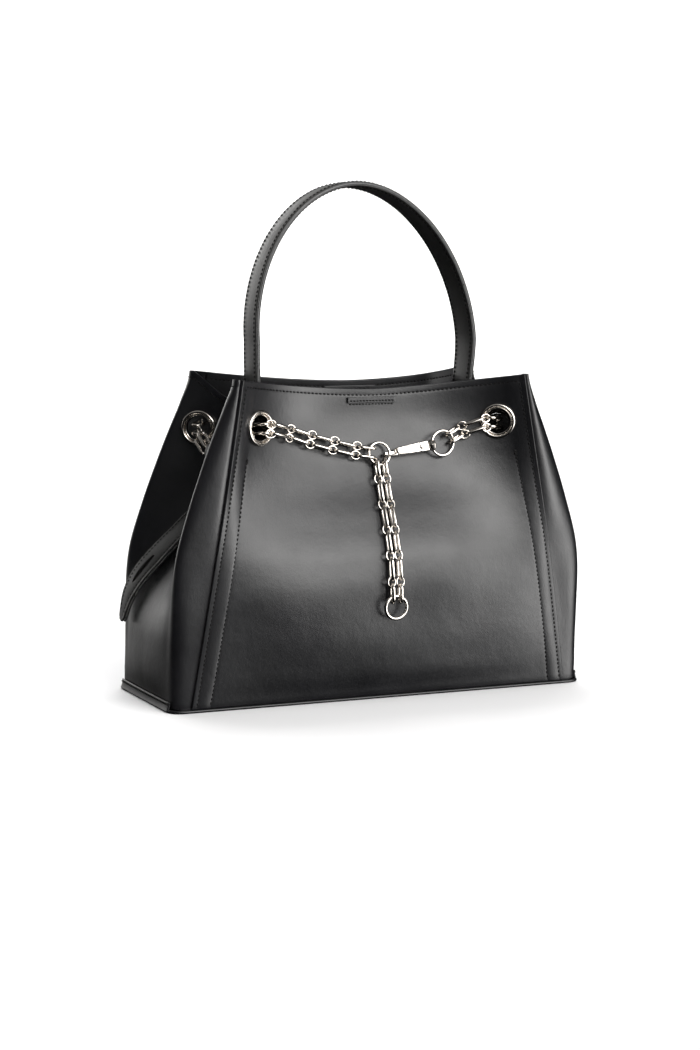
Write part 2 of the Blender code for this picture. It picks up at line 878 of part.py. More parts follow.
def strap_solid(name, inner_out, outer_out, look):
    """One ply of the handle, between two offsets from the strap's middle line."""
    stations = handle_stations()
    outer = []
    inner = []
    for k, (x, z, half) in enumerate(stations):
        before = stations[max(k - 1, 0)]
        after = stations[min(k + 1, len(stations) - 1)]
        along = unit(np.array((after[0] - before[0], after[1] - before[1])))
        out = np.array((along[1], -along[0]))
        for grid, offset in ((outer, outer_out), (inner, inner_out)):
            px, pz = np.array((x, z)) + offset * out
            grid.append([(px, handle_y(pz) + s * half, pz) for s in (-1, 1)])
    leans = [True] * (len(stations) - 1)
    return grid_shell(name, outer, inner, look, leans, at=rivet_place(1, 0))


def make_handle():
    half = handle_stack() / 2
    plies = (
        strap_solid("handle_outer_strap", half - STRAP_THICKNESS, half, black_leather),
        strap_solid("handle_inner_strap", -half, -half + STRAP_THICKNESS, black_leather),
    )
    for side, name in ((-1, "left"), (1, "right")):
        x = handle_leg_x(RIVET_HEIGHT)
        frame = frame_on(rivet_place(side, x), (side, 0, 0), (0, 0, 1))
        reach = half + OVERRUN
        hole = cylinder(name, RIVET_SHAFT_RADIUS + GAP, -reach, reach, rivet_round, frame)
        cutter = add_cutter(name + "_strap_cutter", hole)
        for ply in plies:
            cut(ply, cutter)
        low = -half - 2 * GAP
        high = fold_width(RIVET_HEIGHT) - x + rivet_seat()
        crown = RIVET_HEAD_RADIUS * rivet_crown_share
        profile = [
            (crown, low - RIVET_HEAD_HEIGHT),
            (RIVET_HEAD_RADIUS, low),
            (RIVET_SHAFT_RADIUS, low),
            (RIVET_SHAFT_RADIUS, high),
            (RIVET_HEAD_RADIUS, high),
            (crown, high + RIVET_HEAD_HEIGHT),
        ]
        rivet = f"handle_rivet_{name}"
        new_object(rivet, turned(rivet, profile, rivet_round, frame, closed=False), bright_metal)


def through(points, count=24):
    """A dense smooth curve through the points."""
    points = [np.asarray(p, float) for p in points]
    padded = [2 * points[0] - points[1]] + points + [2 * points[-1] - points[-2]]
    dense = []
    for a, b, c, d in zip(padded, padded[1:], padded[2:], padded[3:]):
        for k in range(count):
            s = k / count
            dense.append(
                b
                + s * (c - a) / 2
                + s**2 * (a - 2.5 * b + 2 * c - d / 2)
                + s**3 * (1.5 * (b - c) + (d - a) / 2)
            )
    dense.append(points[-1])
    return np.array(dense)


def along_route(dense, distance):
    """The place at a distance along a dense route, which runs on straight past its ends."""
    steps = np.linalg.norm(np.diff(dense, axis=0), axis=1)
    travelled = np.concatenate([[0], np.cumsum(steps)])
    if distance <= 0:
        return dense[0] + distance * unit(dense[1] - dense[0])
    if distance >= travelled[-1]:
        return dense[-1] + (distance - travelled[-1]) * unit(dense[-1] - dense[-2])
    return np.array([np.interp(distance, travelled, dense[:, axis]) for axis in range(3)])


def route_length(dense):
    return float(np.linalg.norm(np.diff(dense, axis=0), axis=1).sum())


def spaced(points, count):
    """Places at equal distances along a smooth curve through the points."""
    dense = through(points)
    length = route_length(dense)
    return [along_route(dense, length * k / count) for k in range(count + 1)]


def joined(*runs):
    """One list of places from runs that each start where the last one ended."""
    places = [runs[0][0]]
    for run in runs:
        places += list(run[1:])
    return places


def link_stations(places, across, lead=None, trail=None):
    """Frames where the links bear on each other: (place, along, across, out).

    lead and trail are the places before the first and after the last one, on the runs that this
    run hangs on: its end wires then lie inside their last links, a little past the shared place.
    """
    places = [np.asarray(p, float) for p in places]
    first = unit(places[0] - lead) if lead is not None else unit(places[1] - places[0])
    last = unit(trail - places[-1]) if trail is not None else unit(places[-1] - places[-2])
    ways = [first] + [unit(after - before) for before, after in zip(places, places[1:])] + [last]
    if lead is not None:
        places[0] = places[0] - hold_back() * first
        ways[1] = first
    if trail is not None:
        places[-1] = places[-1] + hold_back() * last
        ways[-2] = last
    stations = []
    for k, place in enumerate(places):
        along = unit(ways[k] + ways[k + 1])
        if k == 1 or k == len(places) - 2:
            along = unit(places[k + 1] - places[k - 1])
        side = unit(np.asarray(across, float) - along * np.dot(across, along))
        stations.append((place, along, side, np.cross(along, side)))
    return stations


def between(a, b, s):
    along = unit(lerp(a[1], b[1], s))
    side = lerp(a[2], b[2], s)
    side = unit(side - along * np.dot(side, along))
    return lerp(a[0], b[0], s), along, side, np.cross(along, side)


def double_chain(name, stations, first_on_edge, plain=False):
    """Two strands of links side by side: pairs of links on edge, then pairs of flat rings.

    Each link bears on the next where their wires cross, and each pair of flat rings is joined
    at its middle, so a run is one body. In a plain run the wires bend only once.
    """
    half = LINK_WIRE / 2
    points = []
    faces = []
    signs = (-1, 1)

    def corner(frame, along, side, out):
        place, t, l, n = frame
        points.append(place + t * along + l * side + n * out)
        return len(points) - 1

    blocks = {}
    for k, frame in enumerate(stations):
        for strand in signs:
            for a in signs:
                for b in signs:
                    for c in signs:
                        side = strand * STRAND_OFFSET + b * half
                        blocks[k, strand, a, b, c] = corner(frame, a * half, side, c * half)

    def block_face(k, strand, axis, sign):
        picks = []
        for u, v in ((-1, -1), (-1, 1), (1, 1), (1, -1)):
            key = {0: (sign, u, v), 1: (u, sign, v), 2: (u, v, sign)}[axis]
            picks.append(blocks[(k, strand, *key)])
        return picks

    last = len(stations) - 1
    for k in range(last + 1):
        used = set()
        if k > 0:
            used.add(2 if (k - 1) % 2 == (0 if first_on_edge else 1) else 1)
        if k < last:
            used.add(2 if k % 2 == (0 if first_on_edge else 1) else 1)
        for strand in signs:
            for axis in (0, 1, 2):
                if axis not in used:
                    faces += [block_face(k, strand, axis, sign) for sign in signs]

    for k in range(last):
        on_edge = k % 2 == (0 if first_on_edge else 1)
        axis = 2 if on_edge else 1
        reach = LINK_EDGE_HALF if on_edge else LINK_RING_HALF
        ties = {}
        for strand in signs:
            for sign in signs:
                inward = not on_edge and sign == -strand
                shoulders = edge_shoulder_shares if on_edge else ring_shoulder_shares
                if plain and not inward and 0 < k < last - 1:
                    shoulders = plain_shoulder_shares
                loops = []
                for end, a in ((k, -1), (k + 1, 1)):
                    loop = []
                    for outer, other in ((1, -1), (1, 1), (-1, 1), (-1, -1)):
                        along = a * outer
                        key = (along, other, sign) if on_edge else (along, sign, other)
                        loop.append(blocks[(end, strand, *key)])
                    loops.append(loop)
                middle = []
                for s in shoulders:
                    frame = between(stations[k], stations[k + 1], s)
                    loop = []
                    for outer, other in ((1, -1), (1, 1), (-1, 1), (-1, -1)):
                        away = sign * (reach + outer * half)
                        if on_edge:
                            side, out = strand * STRAND_OFFSET + other * half, away
                        else:
                            side, out = strand * STRAND_OFFSET + away, other * half
                        loop.append(corner(frame, 0, side, out))
                    middle.append(loop)
                rings = [loops[0]] + middle + [loops[1]]
                for r in range(len(rings) - 1):
                    for j in range(4):
                        if inward and r == 1 and j == 0:
                            ties[strand] = (rings[1][0], rings[1][1], rings[2][1], rings[2][0])
                            continue
                        i = (j + 1) % 4
                        faces.append((rings[r][j], rings[r][i], rings[r + 1][i], rings[r + 1][j]))
        if ties:
            a, b = ties[-1], ties[1]
            faces += [(a[j], a[(j + 1) % 4], b[(j + 1) % 4], b[j]) for j in range(4)]
    return new_object(name, mesh_from(name, points, faces), bright_metal, at=stations[0][0])


def hold_back():
    """How far back inside the last link the next run's wire lies."""
    return LINK_WIRE + LINK_PLAY


def ring_hold(radius, wire):
    """How far from a ring's centre a double link's wires lie when they hang on the ring."""
    inner = radius - wire / 2
    reach = STRAND_OFFSET + LINK_WIRE / 2
    return math.sqrt(inner**2 - reach**2) - LINK_WIRE / 2 - RING_PLAY


def eyelet_ways(side, face, toward):
    """An eyelet's middle, its outward direction, and the direction along the leather to a place."""
    middle, normal = eyelet_spot("face", side, face)
    way = np.asarray(toward) - middle
    return middle, normal, unit(way - normal * np.dot(way, normal))


def rim_shift(side, face):
    """The chain lies a little further along over the front right eyelet, by the clasp's length."""
    return (RIM_SHIFT, MOUTH_SHIFT) if (side, face) == (1, -1) else (0.0, 0.0)


def mouth_places(side, face):
    """Where the chain bends over a face eyelet's rim, enters it, and comes out inside the ear."""
    middle, normal, way = eyelet_ways(side, face, side_place(side, face))
    over, into = rim_shift(side, face)
    rim = middle + (RIM_ALONG + over) * way + RIM_OUT * normal
    outside = middle + (MOUTH_ALONG + into) * way + MOUTH_OUT * normal
    inside = middle + INSIDE_ALONG * way - INSIDE_IN * normal
    inside[2] = lerp(EYELET_HEIGHT, FOLD_EYELET_HEIGHT, ear_drop_share)
    return rim, outside, inside


def ear_places(side, face):
    """The chain's places inside an ear: at the face eyelet, and both sides of the fold eyelet."""
    inside = mouth_places(side, face)[-1]
    fold_middle, fold_normal = eyelet_spot("fold", side, face)
    way = unit(fold_middle - inside)
    before = fold_middle - FOLD_EYELET_REACH * way
    after = fold_middle + FOLD_EYELET_REACH * unit(way + fold_normal)
    return inside, before, after


def side_place(side, face):
    """A place well along the front or back, towards which the chain leaves its eyelet."""
    return face_place(side * TOP_HALF_WIDTH / 2, lerp(CENTRE_RING_HEIGHT, EYELET_HEIGHT, 0.75), face, 0)


def centre_ring_place():
    return face_place(RING_SHIFT, CENTRE_RING_HEIGHT, -1, CHAIN_STANDOFF)


def centre_ring_frame():
    """The centre ring lies along the front: X to the right, Y up, Z out of the bag."""
    normal = Vector(skin_normal(0, CENTRE_RING_HEIGHT, 1, -1))
    return frame_on(centre_ring_place(), normal, (0, 0, 1))


def end_ring_frame():
    normal = Vector(skin_normal(0, END_RING_HEIGHT, 1, -1))
    return frame_on(face_place(RING_SHIFT, END_RING_HEIGHT, -1, CHAIN_STANDOFF), normal, (0, 0, 1))


def at_ring(frame, x, y):
    return np.array(frame @ Vector((x, y, 0)))


def hung_on(frame, radius, wire, toward):
    """Where a run that leaves a ring towards a place has its first wire."""
    aim = frame.inverted() @ Vector(toward)
    aim = Vector((aim.x, aim.y)).normalized() * ring_hold(radius, wire)
    return at_ring(frame, aim.x, aim.y)


def front_way(side, shares):
    """Points of a front run: shares are (place towards the eyelet, rise towards the eyelet)."""
    eyelet, _ = eyelet_spot("face", side, -1)
    low = CENTRE_RING_HEIGHT
    return [
        face_place(eyelet[0] * across, lerp(low, EYELET_HEIGHT, rise), -1, CHAIN_STANDOFF)
        for across, rise in shares
    ]


def make_front_left_chain():
    way = front_way(-1, chain_front_left_shares)
    start = hung_on(centre_ring_frame(), CENTRE_RING_RADIUS, CENTRE_RING_WIRE, way[0])
    mouth = mouth_places(-1, -1)
    run = spaced([start] + way + [mouth[0]], 9)
    stations = link_stations(joined(run, mouth), (0, 0, 1))
    double_chain("chain_front_left", stations, True, plain=True)


def fold_places(side):
    """The chain's places from one ear of a gusset to the other, sagging between them."""
    front = ear_places(side, -1)
    back = ear_places(side, 1)
    hang = [front[-1]]
    for share in (0.25, 0.5, 0.75):
        sag = FOLD_CHAIN_SAG * 4 * share * (1 - share)
        hang.append(lerp(front[-1], back[-1], share) - np.array((0, 0, sag)))
    hang.append(back[-1])
    return joined(front, spaced(hang, 7), list(reversed(back)))


def make_fold_chains():
    for side, name in ((-1, "chain_left_fold"), (1, "chain_right_fold")):
        lead, trail = (mouth_places(side, face)[1] for face in (-1, 1))
        stations = link_stations(fold_places(side), (0, 0, 1), lead, trail)
        double_chain(name, stations, False, plain=True)


def make_back_chain():
    left, right = (mouth_places(side, 1) for side in (-1, 1))
    eyelet, _ = eyelet_spot("face", 1, 1)
    way = [left[0]]
    for share in (-0.7, -0.35, 0, 0.35, 0.7):
        z = EYELET_HEIGHT - BACK_CHAIN_SAG * (1 - share**2)
        way.append(face_place(eyelet[0] * share, z, 1, BACK_CHAIN_STANDOFF))
    way.append(right[0])
    count = 2 * round((route_length(through(way)) / LINK_SPACING - 1) / 2) + 1
    run = joined(list(reversed(left)), spaced(way, count), right)
    double_chain("chain_back", link_stations(run, (0, 0, 1)), True, plain=True)


def drop_stations():
    """The hanging end follows the front from the centre ring down to its own ring."""
    top = at_ring(centre_ring_frame(), 0, -ring_hold(CENTRE_RING_RADIUS, CENTRE_RING_WIRE))
    foot = at_ring(end_ring_frame(), 0, ring_hold(END_RING_RADIUS, END_RING_WIRE))
    way = [top]
    for share in (0.25, 0.5, 0.75):
        way.append(face_place(RING_SHIFT, lerp(top[2], foot[2], share), -1, CHAIN_STANDOFF))
    way.append(foot)
    return spaced(way, 11)


def make_drop_chain():
    """The hanging end, in three lengths that hinge where one length's rings hold the next link."""
    places = drop_stations()
    for name, first, last in (("upper", 0, 3), ("middle", 3, 7), ("lower", 7, 11)):
        lead = places[first - 1] if first else None
        stations = link_stations(places[first : last + 1], (1, 0, 0), lead)
        double_chain("drop_chain_" + name, stations, first == 0, plain=True)


def make_chain_rings():
    ring = ring_mesh("centre_ring", CENTRE_RING_RADIUS, CENTRE_RING_WIRE, centre_ring_frame())
    new_object("centre_ring", ring, bright_metal, at=centre_ring_place())
    frame = end_ring_frame()
    ring = ring_mesh("drop_end_ring", END_RING_RADIUS, END_RING_WIRE, frame)
    new_object("drop_end_ring", ring, bright_metal, at=at_ring(frame, 0, END_RING_RADIUS))


def clasp_run():
    """From the centre ring's wire to the clasp ring's wire."""
    return CLASP_THROAT / 2 + CLASP_LENGTH + GAP + SWIVEL_BLOCK / 2


def clasp_start():
    return at_ring(centre_ring_frame(), CENTRE_RING_RADIUS, 0)


def clasp_end():
    start = clasp_start()
    flat = math.sqrt(clasp_run() ** 2 - CLASP_RISE**2)
    aim = face_place(start[0] + flat, start[2] + CLASP_RISE, -1, CLASP_END_STANDOFF)
    return start + clasp_run() * unit(aim - start)


def clasp_frame():
    """X runs along the clasp away from the centre ring, Y into the bag, and Z up the ring's wire."""
    x = Vector(clasp_end() - clasp_start()).normalized()
    up = centre_ring_frame().to_3x3() @ Vector((0, 1, 0))
    y = up.cross(x).normalized()
    frame = Matrix((x, y, x.cross(y))).transposed().to_4x4()
    frame.translation = Vector(clasp_start())
    return frame


def clasp_ring_frame():
    """The clasp ring's X runs from the swivel to the chain, and its Z out of the bag."""
    near = clasp_end()
    across = 2 * CLASP_RING_RADIUS
    aim = face_place(near[0] + across, near[2] + CLASP_RISE / 2, -1, CLASP_RING_STANDOFF)
    x = Vector(aim - near).normalized()
    z = x.cross(Vector((0, 0, 1))).normalized()
    frame = Matrix((x, z.cross(x), z)).transposed().to_4x4()
    frame.translation = Vector(near) + x * CLASP_RING_RADIUS
    return frame


def make_clasp():
    """A bolt clasp: a hook round the centre ring, closed by a bolt with a thumb knob."""
    frame = clasp_frame()
    start = CLASP_THROAT / 2
    end = start + CLASP_LENGTH
    bolt_front = CLASP_THROAT_BACK + GAP
    bolt_back = bolt_front + BOLT_THICKNESS
    chamfer = CLASP_TIP / 2
    outline = [
        (end, -CLASP_FRONT),
        (end, CLASP_BACK),
        (start, CLASP_BACK),
        (start, -CLASP_THROAT_FRONT),
        (-start, -CLASP_THROAT_FRONT),
        (-start, bolt_back),
        (-start - chamfer, bolt_back),
        (-start - CLASP_TIP, bolt_back - chamfer),
        (-start - CLASP_TIP, -CLASP_FRONT + chamfer),
        (-start - chamfer, -CLASP_FRONT),
    ]
    half = CLASP_HEIGHT / 2
    clasp = new_object(
        "clasp_body", prism_mesh("clasp_body", outline, -half, half, frame), bright_metal, at=clasp_start()
    )
    room = BOLT_HEIGHT / 2 + GAP
    channel_end = -start + BOLT_LENGTH + BOLT_TRAVEL + 2 * GAP
    low = (start - OVERRUN / 4, bolt_front - GAP, -room)
    high = (channel_end, bolt_back + GAP, room)
    cut(clasp, add_cutter("clasp_channel_cutter", box_mesh("channel", low, high, frame)))
    knob = start + BOLT_LENGTH - CLASP_THROAT - 2 * KNOB_NECK
    neck = KNOB_NECK / 2 + GAP
    low = (knob - neck, -CLASP_FRONT - OVERRUN, -neck)
    high = (knob + neck + BOLT_TRAVEL, bolt_front, neck)
    cut(clasp, add_cutter("clasp_slot_cutter", box_mesh("slot", low, high, frame)))
    axis = frame @ Matrix.Rotation(math.pi / 2, 4, "Y")
    deep = end - SWIVEL_PIN_LENGTH - GAP
    bore = cylinder("bore", SWIVEL_PIN_RADIUS + GAP, deep, end + OVERRUN, swivel_round, axis)
    cut(clasp, add_cutter("clasp_bore_cutter", bore))
    make_bolt(frame, bolt_front, bolt_back, knob)
    make_swivel(axis, end)


def make_bolt(frame, front, back, knob):
    """The sliding bolt, with the neck that carries its thumb knob in front of the clasp."""
    start = -CLASP_THROAT / 2 + GAP
    knob_back = -CLASP_FRONT - GAP
    knob_front = knob_back - KNOB_THICKNESS
    outline = [
        (start, front),
        (knob - KNOB_NECK / 2, front),
        (knob - KNOB_NECK / 2, knob_back),
        (knob - KNOB_LENGTH / 2, knob_back),
        (knob - KNOB_LENGTH / 2, knob_front),
        (knob + KNOB_LENGTH / 2, knob_front),
        (knob + KNOB_LENGTH / 2, knob_back),
        (knob + KNOB_NECK / 2, knob_back),
        (knob + KNOB_NECK / 2, front),
        (start + BOLT_LENGTH, front),
        (start + BOLT_LENGTH, back),
        (start, back),
    ]
    bolt = prism_mesh("clasp_bolt", outline, -KNOB_NECK / 2, KNOB_NECK / 2, frame)
    new_object("clasp_bolt", bolt, bright_metal, at=np.array(frame @ Vector((knob, front, 0))))


def make_swivel(axis, end):
    """The swivel: a pin in the clasp's end, and a block that the clasp ring passes through."""
    start = end + GAP
    profile = [
        (SWIVEL_PIN_RADIUS, end - SWIVEL_PIN_LENGTH),
        (SWIVEL_PIN_RADIUS, start),
        (SWIVEL_BLOCK / 2, start),
        (SWIVEL_HEIGHT / 2, start + SWIVEL_BLOCK * swivel_shoulder_shares[0]),
        (SWIVEL_HEIGHT / 2, start + SWIVEL_BLOCK * swivel_shoulder_shares[1]),
        (SWIVEL_BLOCK / 2, start + SWIVEL_BLOCK),
    ]
    block = turned("clasp_swivel", profile, swivel_round, axis, closed=False)
    swivel = new_object("clasp_swivel", block, bright_metal, at=clasp_start())
    ring_frame = clasp_ring_frame()
    hole = ring_mesh("hole", CLASP_RING_RADIUS, CLASP_RING_WIRE + 3 * GAP, ring_frame)
    cut(swivel, add_cutter("clasp_swivel_cutter", hole))
    ring = ring_mesh("clasp_ring", CLASP_RING_RADIUS, CLASP_RING_WIRE, ring_frame)
    new_object("clasp_ring", ring, bright_metal, at=clasp_end())


def make_front_right_chain():
    ring = clasp_ring_frame()
    far = at_ring(ring, CLASP_RING_RADIUS, 0)
    mouth = mouth_places(1, -1)
    across, rise = chain_front_right_shares
    x = lerp(far[0], mouth[0][0], across)
    middle = face_place(x, lerp(far[2], mouth[0][2], rise), -1, CHAIN_STANDOFF)
    way = [hung_on(ring, CLASP_RING_RADIUS, CLASP_RING_WIRE, middle), middle, mouth[0]]
    count = 2 * round((route_length(through(way)) / LINK_SPACING - 1) / 2) + 1
    stations = link_stations(joined(spaced(way, count), mouth), (0, 0, 1))
    double_chain("chain_front_right", stations, True, plain=True)


def tag_pivot():
    """The middle of the chain's sagging length in the left fold."""
    places = fold_places(-1)
    return lerp(places[5], places[6], 0.5)


def tag_way():
    """The tag's middle line, from below its loop down over the rear half of the left gusset."""
    drop = TAG_LOOP_INNER_HALF + TAG_LOOP_THICKNESS + TAG_LOOP_CLEAR
    top = tag_pivot() - np.array((0, 0, drop))
    points = [top]
    for rise, w in tag_rest_shares:
        points.append(skin(3 - w, rise * BODY_HEIGHT, -1, 1, TAG_REST_OUT))
    return through(points, 12)


def tag_stations():
    """Frames down the tag: (place, along, across, out)."""
    dense = tag_way()
    length = route_length(dense)
    stations = []
    count = len(tag_width_shares) - 1
    for share, _ in tag_width_shares:
        at = share * length
        place = along_route(dense, at)
        step = length / count / 2
        along = unit(along_route(dense, at + step) - along_route(dense, at - step))
        rest = [row[1] for row in tag_rest_shares]
        heights = [-row[0] * BODY_HEIGHT for row in tag_rest_shares]
        w = float(np.interp(-place[2], heights, rest))
        out = skin_normal(3 - w, place[2], -1, 1)
        across = unit(np.cross(out, along))
        stations.append((place, along, across, np.cross(along, across)))
    return stations


def tag_ply(name, low, high):
    stations = tag_stations()
    grids = []
    for offset in (high, low):
        grid = []
        for (place, _, across, out), (_, width) in zip(stations, tag_width_shares):
            half = TAG_WIDTH / 2 * width
            grid.append([place + s * half * across + offset * out for s in (-1, 1)])
        grids.append(grid)
    leans = [True] * (len(stations) - 1)
    return grid_shell(name, grids[0], grids[1], black_leather, leans, at=tag_pivot())


def slot_outline(length, width):
    half = width / 2
    points = []
    for centre, turn in ((-length / 2 + half, 90), (length / 2 - half, 270)):
        for k in range(5):
            angle = math.radians(turn + 45 * k)
            points.append((centre + half * math.cos(angle), half * math.sin(angle)))
    return points


def make_tag():
    """Two plies that hang side by side, the front one slotted, and the loop round the chain."""
    front = tag_ply("tag_front_ply", GAP / 2, GAP / 2 + TAG_PLY)
    dense = tag_way()
    at = route_length(dense) * tag_slot_share
    place = along_route(dense, at)
    step = TAG_SLOT_LENGTH / 2
    x = Vector(along_route(dense, at + step) - along_route(dense, at - step)).normalized()
    stations = tag_stations()
    near = min(stations, key=lambda s: np.linalg.norm(s[0] - place))
    z = (Vector(near[3]) - x * x.dot(Vector(near[3]))).normalized()
    frame = Matrix((x, z.cross(x), z)).transposed().to_4x4()
    frame.translation = Vector(place)
    slot = prism_mesh("slot", slot_outline(TAG_SLOT_LENGTH, TAG_SLOT_WIDTH), -OVERRUN / 4, OVERRUN, frame)
    cut(front, add_cutter("tag_slot_cutter", slot))
    tag_ply("tag_back_ply", -GAP / 2 - TAG_PLY, -GAP / 2)
    make_tag_loop()


def make_tag_loop():
    """The loop sits square to the chain that it hangs on."""
    places = fold_places(-1)
    y = Vector(places[6] - places[5]).normalized()
    z = Vector((0, 0, 1)).cross(y).normalized()
    frame = Matrix((y.cross(z), y, z)).transposed().to_4x4()
    frame.translation = Vector(tag_pivot())
    half = TAG_LOOP_WIDTH / 2
    rings = []
    for more in (TAG_LOOP_THICKNESS, 0):
        long = TAG_LOOP_INNER_HALF + more
        short = TAG_LOOP_INNER_SIDE + more
        ring = []
        for k in range(tag_loop_round):
            angle = 2 * math.pi * k / tag_loop_round
            x, z = long * math.cos(angle), short * math.sin(angle)
            ring.append([np.array(frame @ Vector((x, s * half, z))) for s in (-1, 1)])
        rings.append(ring)
    leans = [True] * tag_loop_round
    grid_shell("tag_loop", rings[0], rings[1], black_leather, leans, ring=True, at=tag_pivot())


def build():
    clear_scene()
    make_base()
    make_base_bands()
    make_gussets()
    make_panels()
    make_facings()
    make_lining()
    make_closure()
    make_eyelets()
    make_handle()
    make_front_left_chain()
    make_fold_chains()
    make_back_chain()
    make_chain_rings()
    make_drop_chain()
    make_clasp()
    make_front_right_chain()
    make_tag()


build()
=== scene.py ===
"""Looks of the leather top handle bag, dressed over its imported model. Everything is in metres."""

from math import copysign, cos, exp, pi, radians, sin

import bmesh
import bpy
import numpy as np
from mathutils import Matrix, Vector


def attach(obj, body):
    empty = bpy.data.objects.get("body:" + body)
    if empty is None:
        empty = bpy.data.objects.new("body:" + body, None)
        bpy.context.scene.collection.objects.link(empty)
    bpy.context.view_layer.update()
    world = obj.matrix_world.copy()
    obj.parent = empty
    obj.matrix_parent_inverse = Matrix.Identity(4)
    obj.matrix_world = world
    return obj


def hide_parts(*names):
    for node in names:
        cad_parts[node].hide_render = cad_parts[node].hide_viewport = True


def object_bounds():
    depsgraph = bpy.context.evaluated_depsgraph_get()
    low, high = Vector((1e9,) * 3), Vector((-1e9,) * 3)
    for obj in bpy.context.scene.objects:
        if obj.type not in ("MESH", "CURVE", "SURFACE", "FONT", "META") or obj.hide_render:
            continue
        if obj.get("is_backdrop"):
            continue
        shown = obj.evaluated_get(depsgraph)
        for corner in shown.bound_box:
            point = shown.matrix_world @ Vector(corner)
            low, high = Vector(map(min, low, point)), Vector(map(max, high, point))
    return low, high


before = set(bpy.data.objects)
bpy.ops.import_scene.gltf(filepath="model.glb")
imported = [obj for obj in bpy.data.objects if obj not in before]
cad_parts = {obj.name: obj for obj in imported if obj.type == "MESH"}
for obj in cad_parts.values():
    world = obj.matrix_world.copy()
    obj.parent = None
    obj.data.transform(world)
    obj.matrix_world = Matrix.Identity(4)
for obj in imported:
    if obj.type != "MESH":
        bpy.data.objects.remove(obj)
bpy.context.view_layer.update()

# The shell, as the model has it
BODY_HEIGHT = 0.226
BASE_HALF_WIDTH = 0.1575
TOP_HALF_WIDTH = 0.1105
BASE_HALF_DEPTH = 0.0565
TOP_HALF_DEPTH = 0.0480
TOP_LEAN = 0.0145
SIDE_BOW = 0.0035
SEAM_BASE_HALF_WIDTH = 0.1440
SEAM_TOP_HALF_WIDTH = 0.1080
MOUTH_PINCH = 0.030
BELLY = 0.0065
FOLD_DEPTH = 0.044
CORNER_BASE_DEPTH = 0.014
CORNER_TOP_DEPTH = 0.0085
FACE_DIP = 0.0095
BACK_DIP = 0.0077
BACK_RISE = 0.0025
GUSSET_DIP = 0.0215
BODY_BOTTOM = 0.0027
GAP = 0.0003
width_shares = (
    *((0, 0.97), (0.08, 0.99), (0.2, 0.985), (0.33, 0.95), (0.44, 0.88)),
    *((0.6, 0.67), (0.73, 0.47), (0.83, 0.30), (0.92, 0.13), (1, 0)),
)
pinch_shares = ((0, 0), (0.3, 0), (0.44, 0.05), (0.56, 0.3), (0.69, 0.68), (0.77, 0.85), (0.9, 1), (1, 1))
belly_shares = ((0, 0), (0.1, 0.65), (0.22, 1), (0.34, 0.95), (0.5, 0.35), (0.65, 0), (1, 0))
fold_shares = (
    *((0, 0), (0.11, -0.05), (0.22, -0.02), (0.33, 0.12), (0.44, 0.375), (0.55, 0.66)),
    *((0.66, 0.93), (0.77, 1), (0.82, 0.92), (0.88, 0.79), (1, 0.58)),
)
FACES = ((-1, "front"), (1, "back"))
SIDES = ((-1, "left"), (1, "right"))


def lerp(a, b, s):
    return a + (b - a) * s


def unit(v):
    return np.asarray(v) / np.linalg.norm(v)


def full_turn(count):
    """Angles once round."""
    return [2 * pi * k / count for k in range(count)]


def smooth(shares, at):
    """A curve without overshoot through (place, value) shares."""
    places, values = zip(*shares)
    slopes = [(values[i + 1] - values[i]) / (places[i + 1] - places[i]) for i in range(len(shares) - 1)]
    tangents = [0.0]
    for before, after in zip(slopes, slopes[1:]):
        tangents.append(0.0 if before * after <= 0 else 2 * before * after / (before + after))
    tangents.append(0.0)
    at = min(max(at, places[0]), places[-1])
    i = next(k for k in range(len(slopes)) if at <= places[k + 1])
    span = places[i + 1] - places[i]
    s = (at - places[i]) / span
    rise = 3 * s**2 - 2 * s**3
    start = (s**3 - 2 * s**2 + s) * span * tangents[i]
    end = (s**3 - s**2) * span * tangents[i + 1]
    return lerp(values[i], values[i + 1], rise) + start + end


_levels = {}


def level(z):
    key = round(z, 6)
    if key not in _levels:
        rise = z / BODY_HEIGHT
        half_depth = lerp(BASE_HALF_DEPTH, TOP_HALF_DEPTH, rise) + SIDE_BOW * sin(pi * rise)
        _levels[key] = (
            rise,
            half_depth,
            half_depth - lerp(CORNER_BASE_DEPTH, CORNER_TOP_DEPTH, rise),
            seam_half_width(z),
            MOUTH_PINCH * smooth(pinch_shares, rise),
            BELLY * smooth(belly_shares, rise),
            lerp(TOP_HALF_WIDTH, BASE_HALF_WIDTH, smooth(width_shares, rise)),
            FOLD_DEPTH * smooth(fold_shares, rise),
        )
    return _levels[key]


def seam_half_width(z):
    return lerp(SEAM_BASE_HALF_WIDTH, SEAM_TOP_HALF_WIDTH, z / BODY_HEIGHT)


def centre_line(z):
    return -TOP_LEAN * z / BODY_HEIGHT


def skin_place(q, z, side, face):
    """A point of the shell's skin: q is 0 at the face's middle, 1 at the seam, 3 at the fold."""
    rise, half_depth, side_depth, seam, pinch, belly, edge, fold = level(z)
    if q <= 1:
        x = seam * q
        depth = half_depth - pinch * (1 - q**2.8) + belly * (1 - q**2)
    elif q >= 2:
        w = 3 - q
        x = edge - fold * (1 - w**2)
        depth = side_depth * w
    else:
        s = q - 1
        start = np.array((seam, half_depth))
        end = np.array((edge, side_depth))
        leaving = unit((seam, pinch * 2.8 - 2 * belly))
        arriving = unit((-2 * fold, -side_depth))
        pull = lerp(0.62, 0.45, rise) * np.linalg.norm(end - start)
        points = (start, start + pull * leaving, end - pull * arriving, end)
        weights = ((1 - s) ** 3, 3 * s * (1 - s) ** 2, 3 * s**2 * (1 - s), s**3)
        x, depth = sum(weight * point for weight, point in zip(weights, points))
    return np.array((side * x, centre_line(z) + face * depth, z))


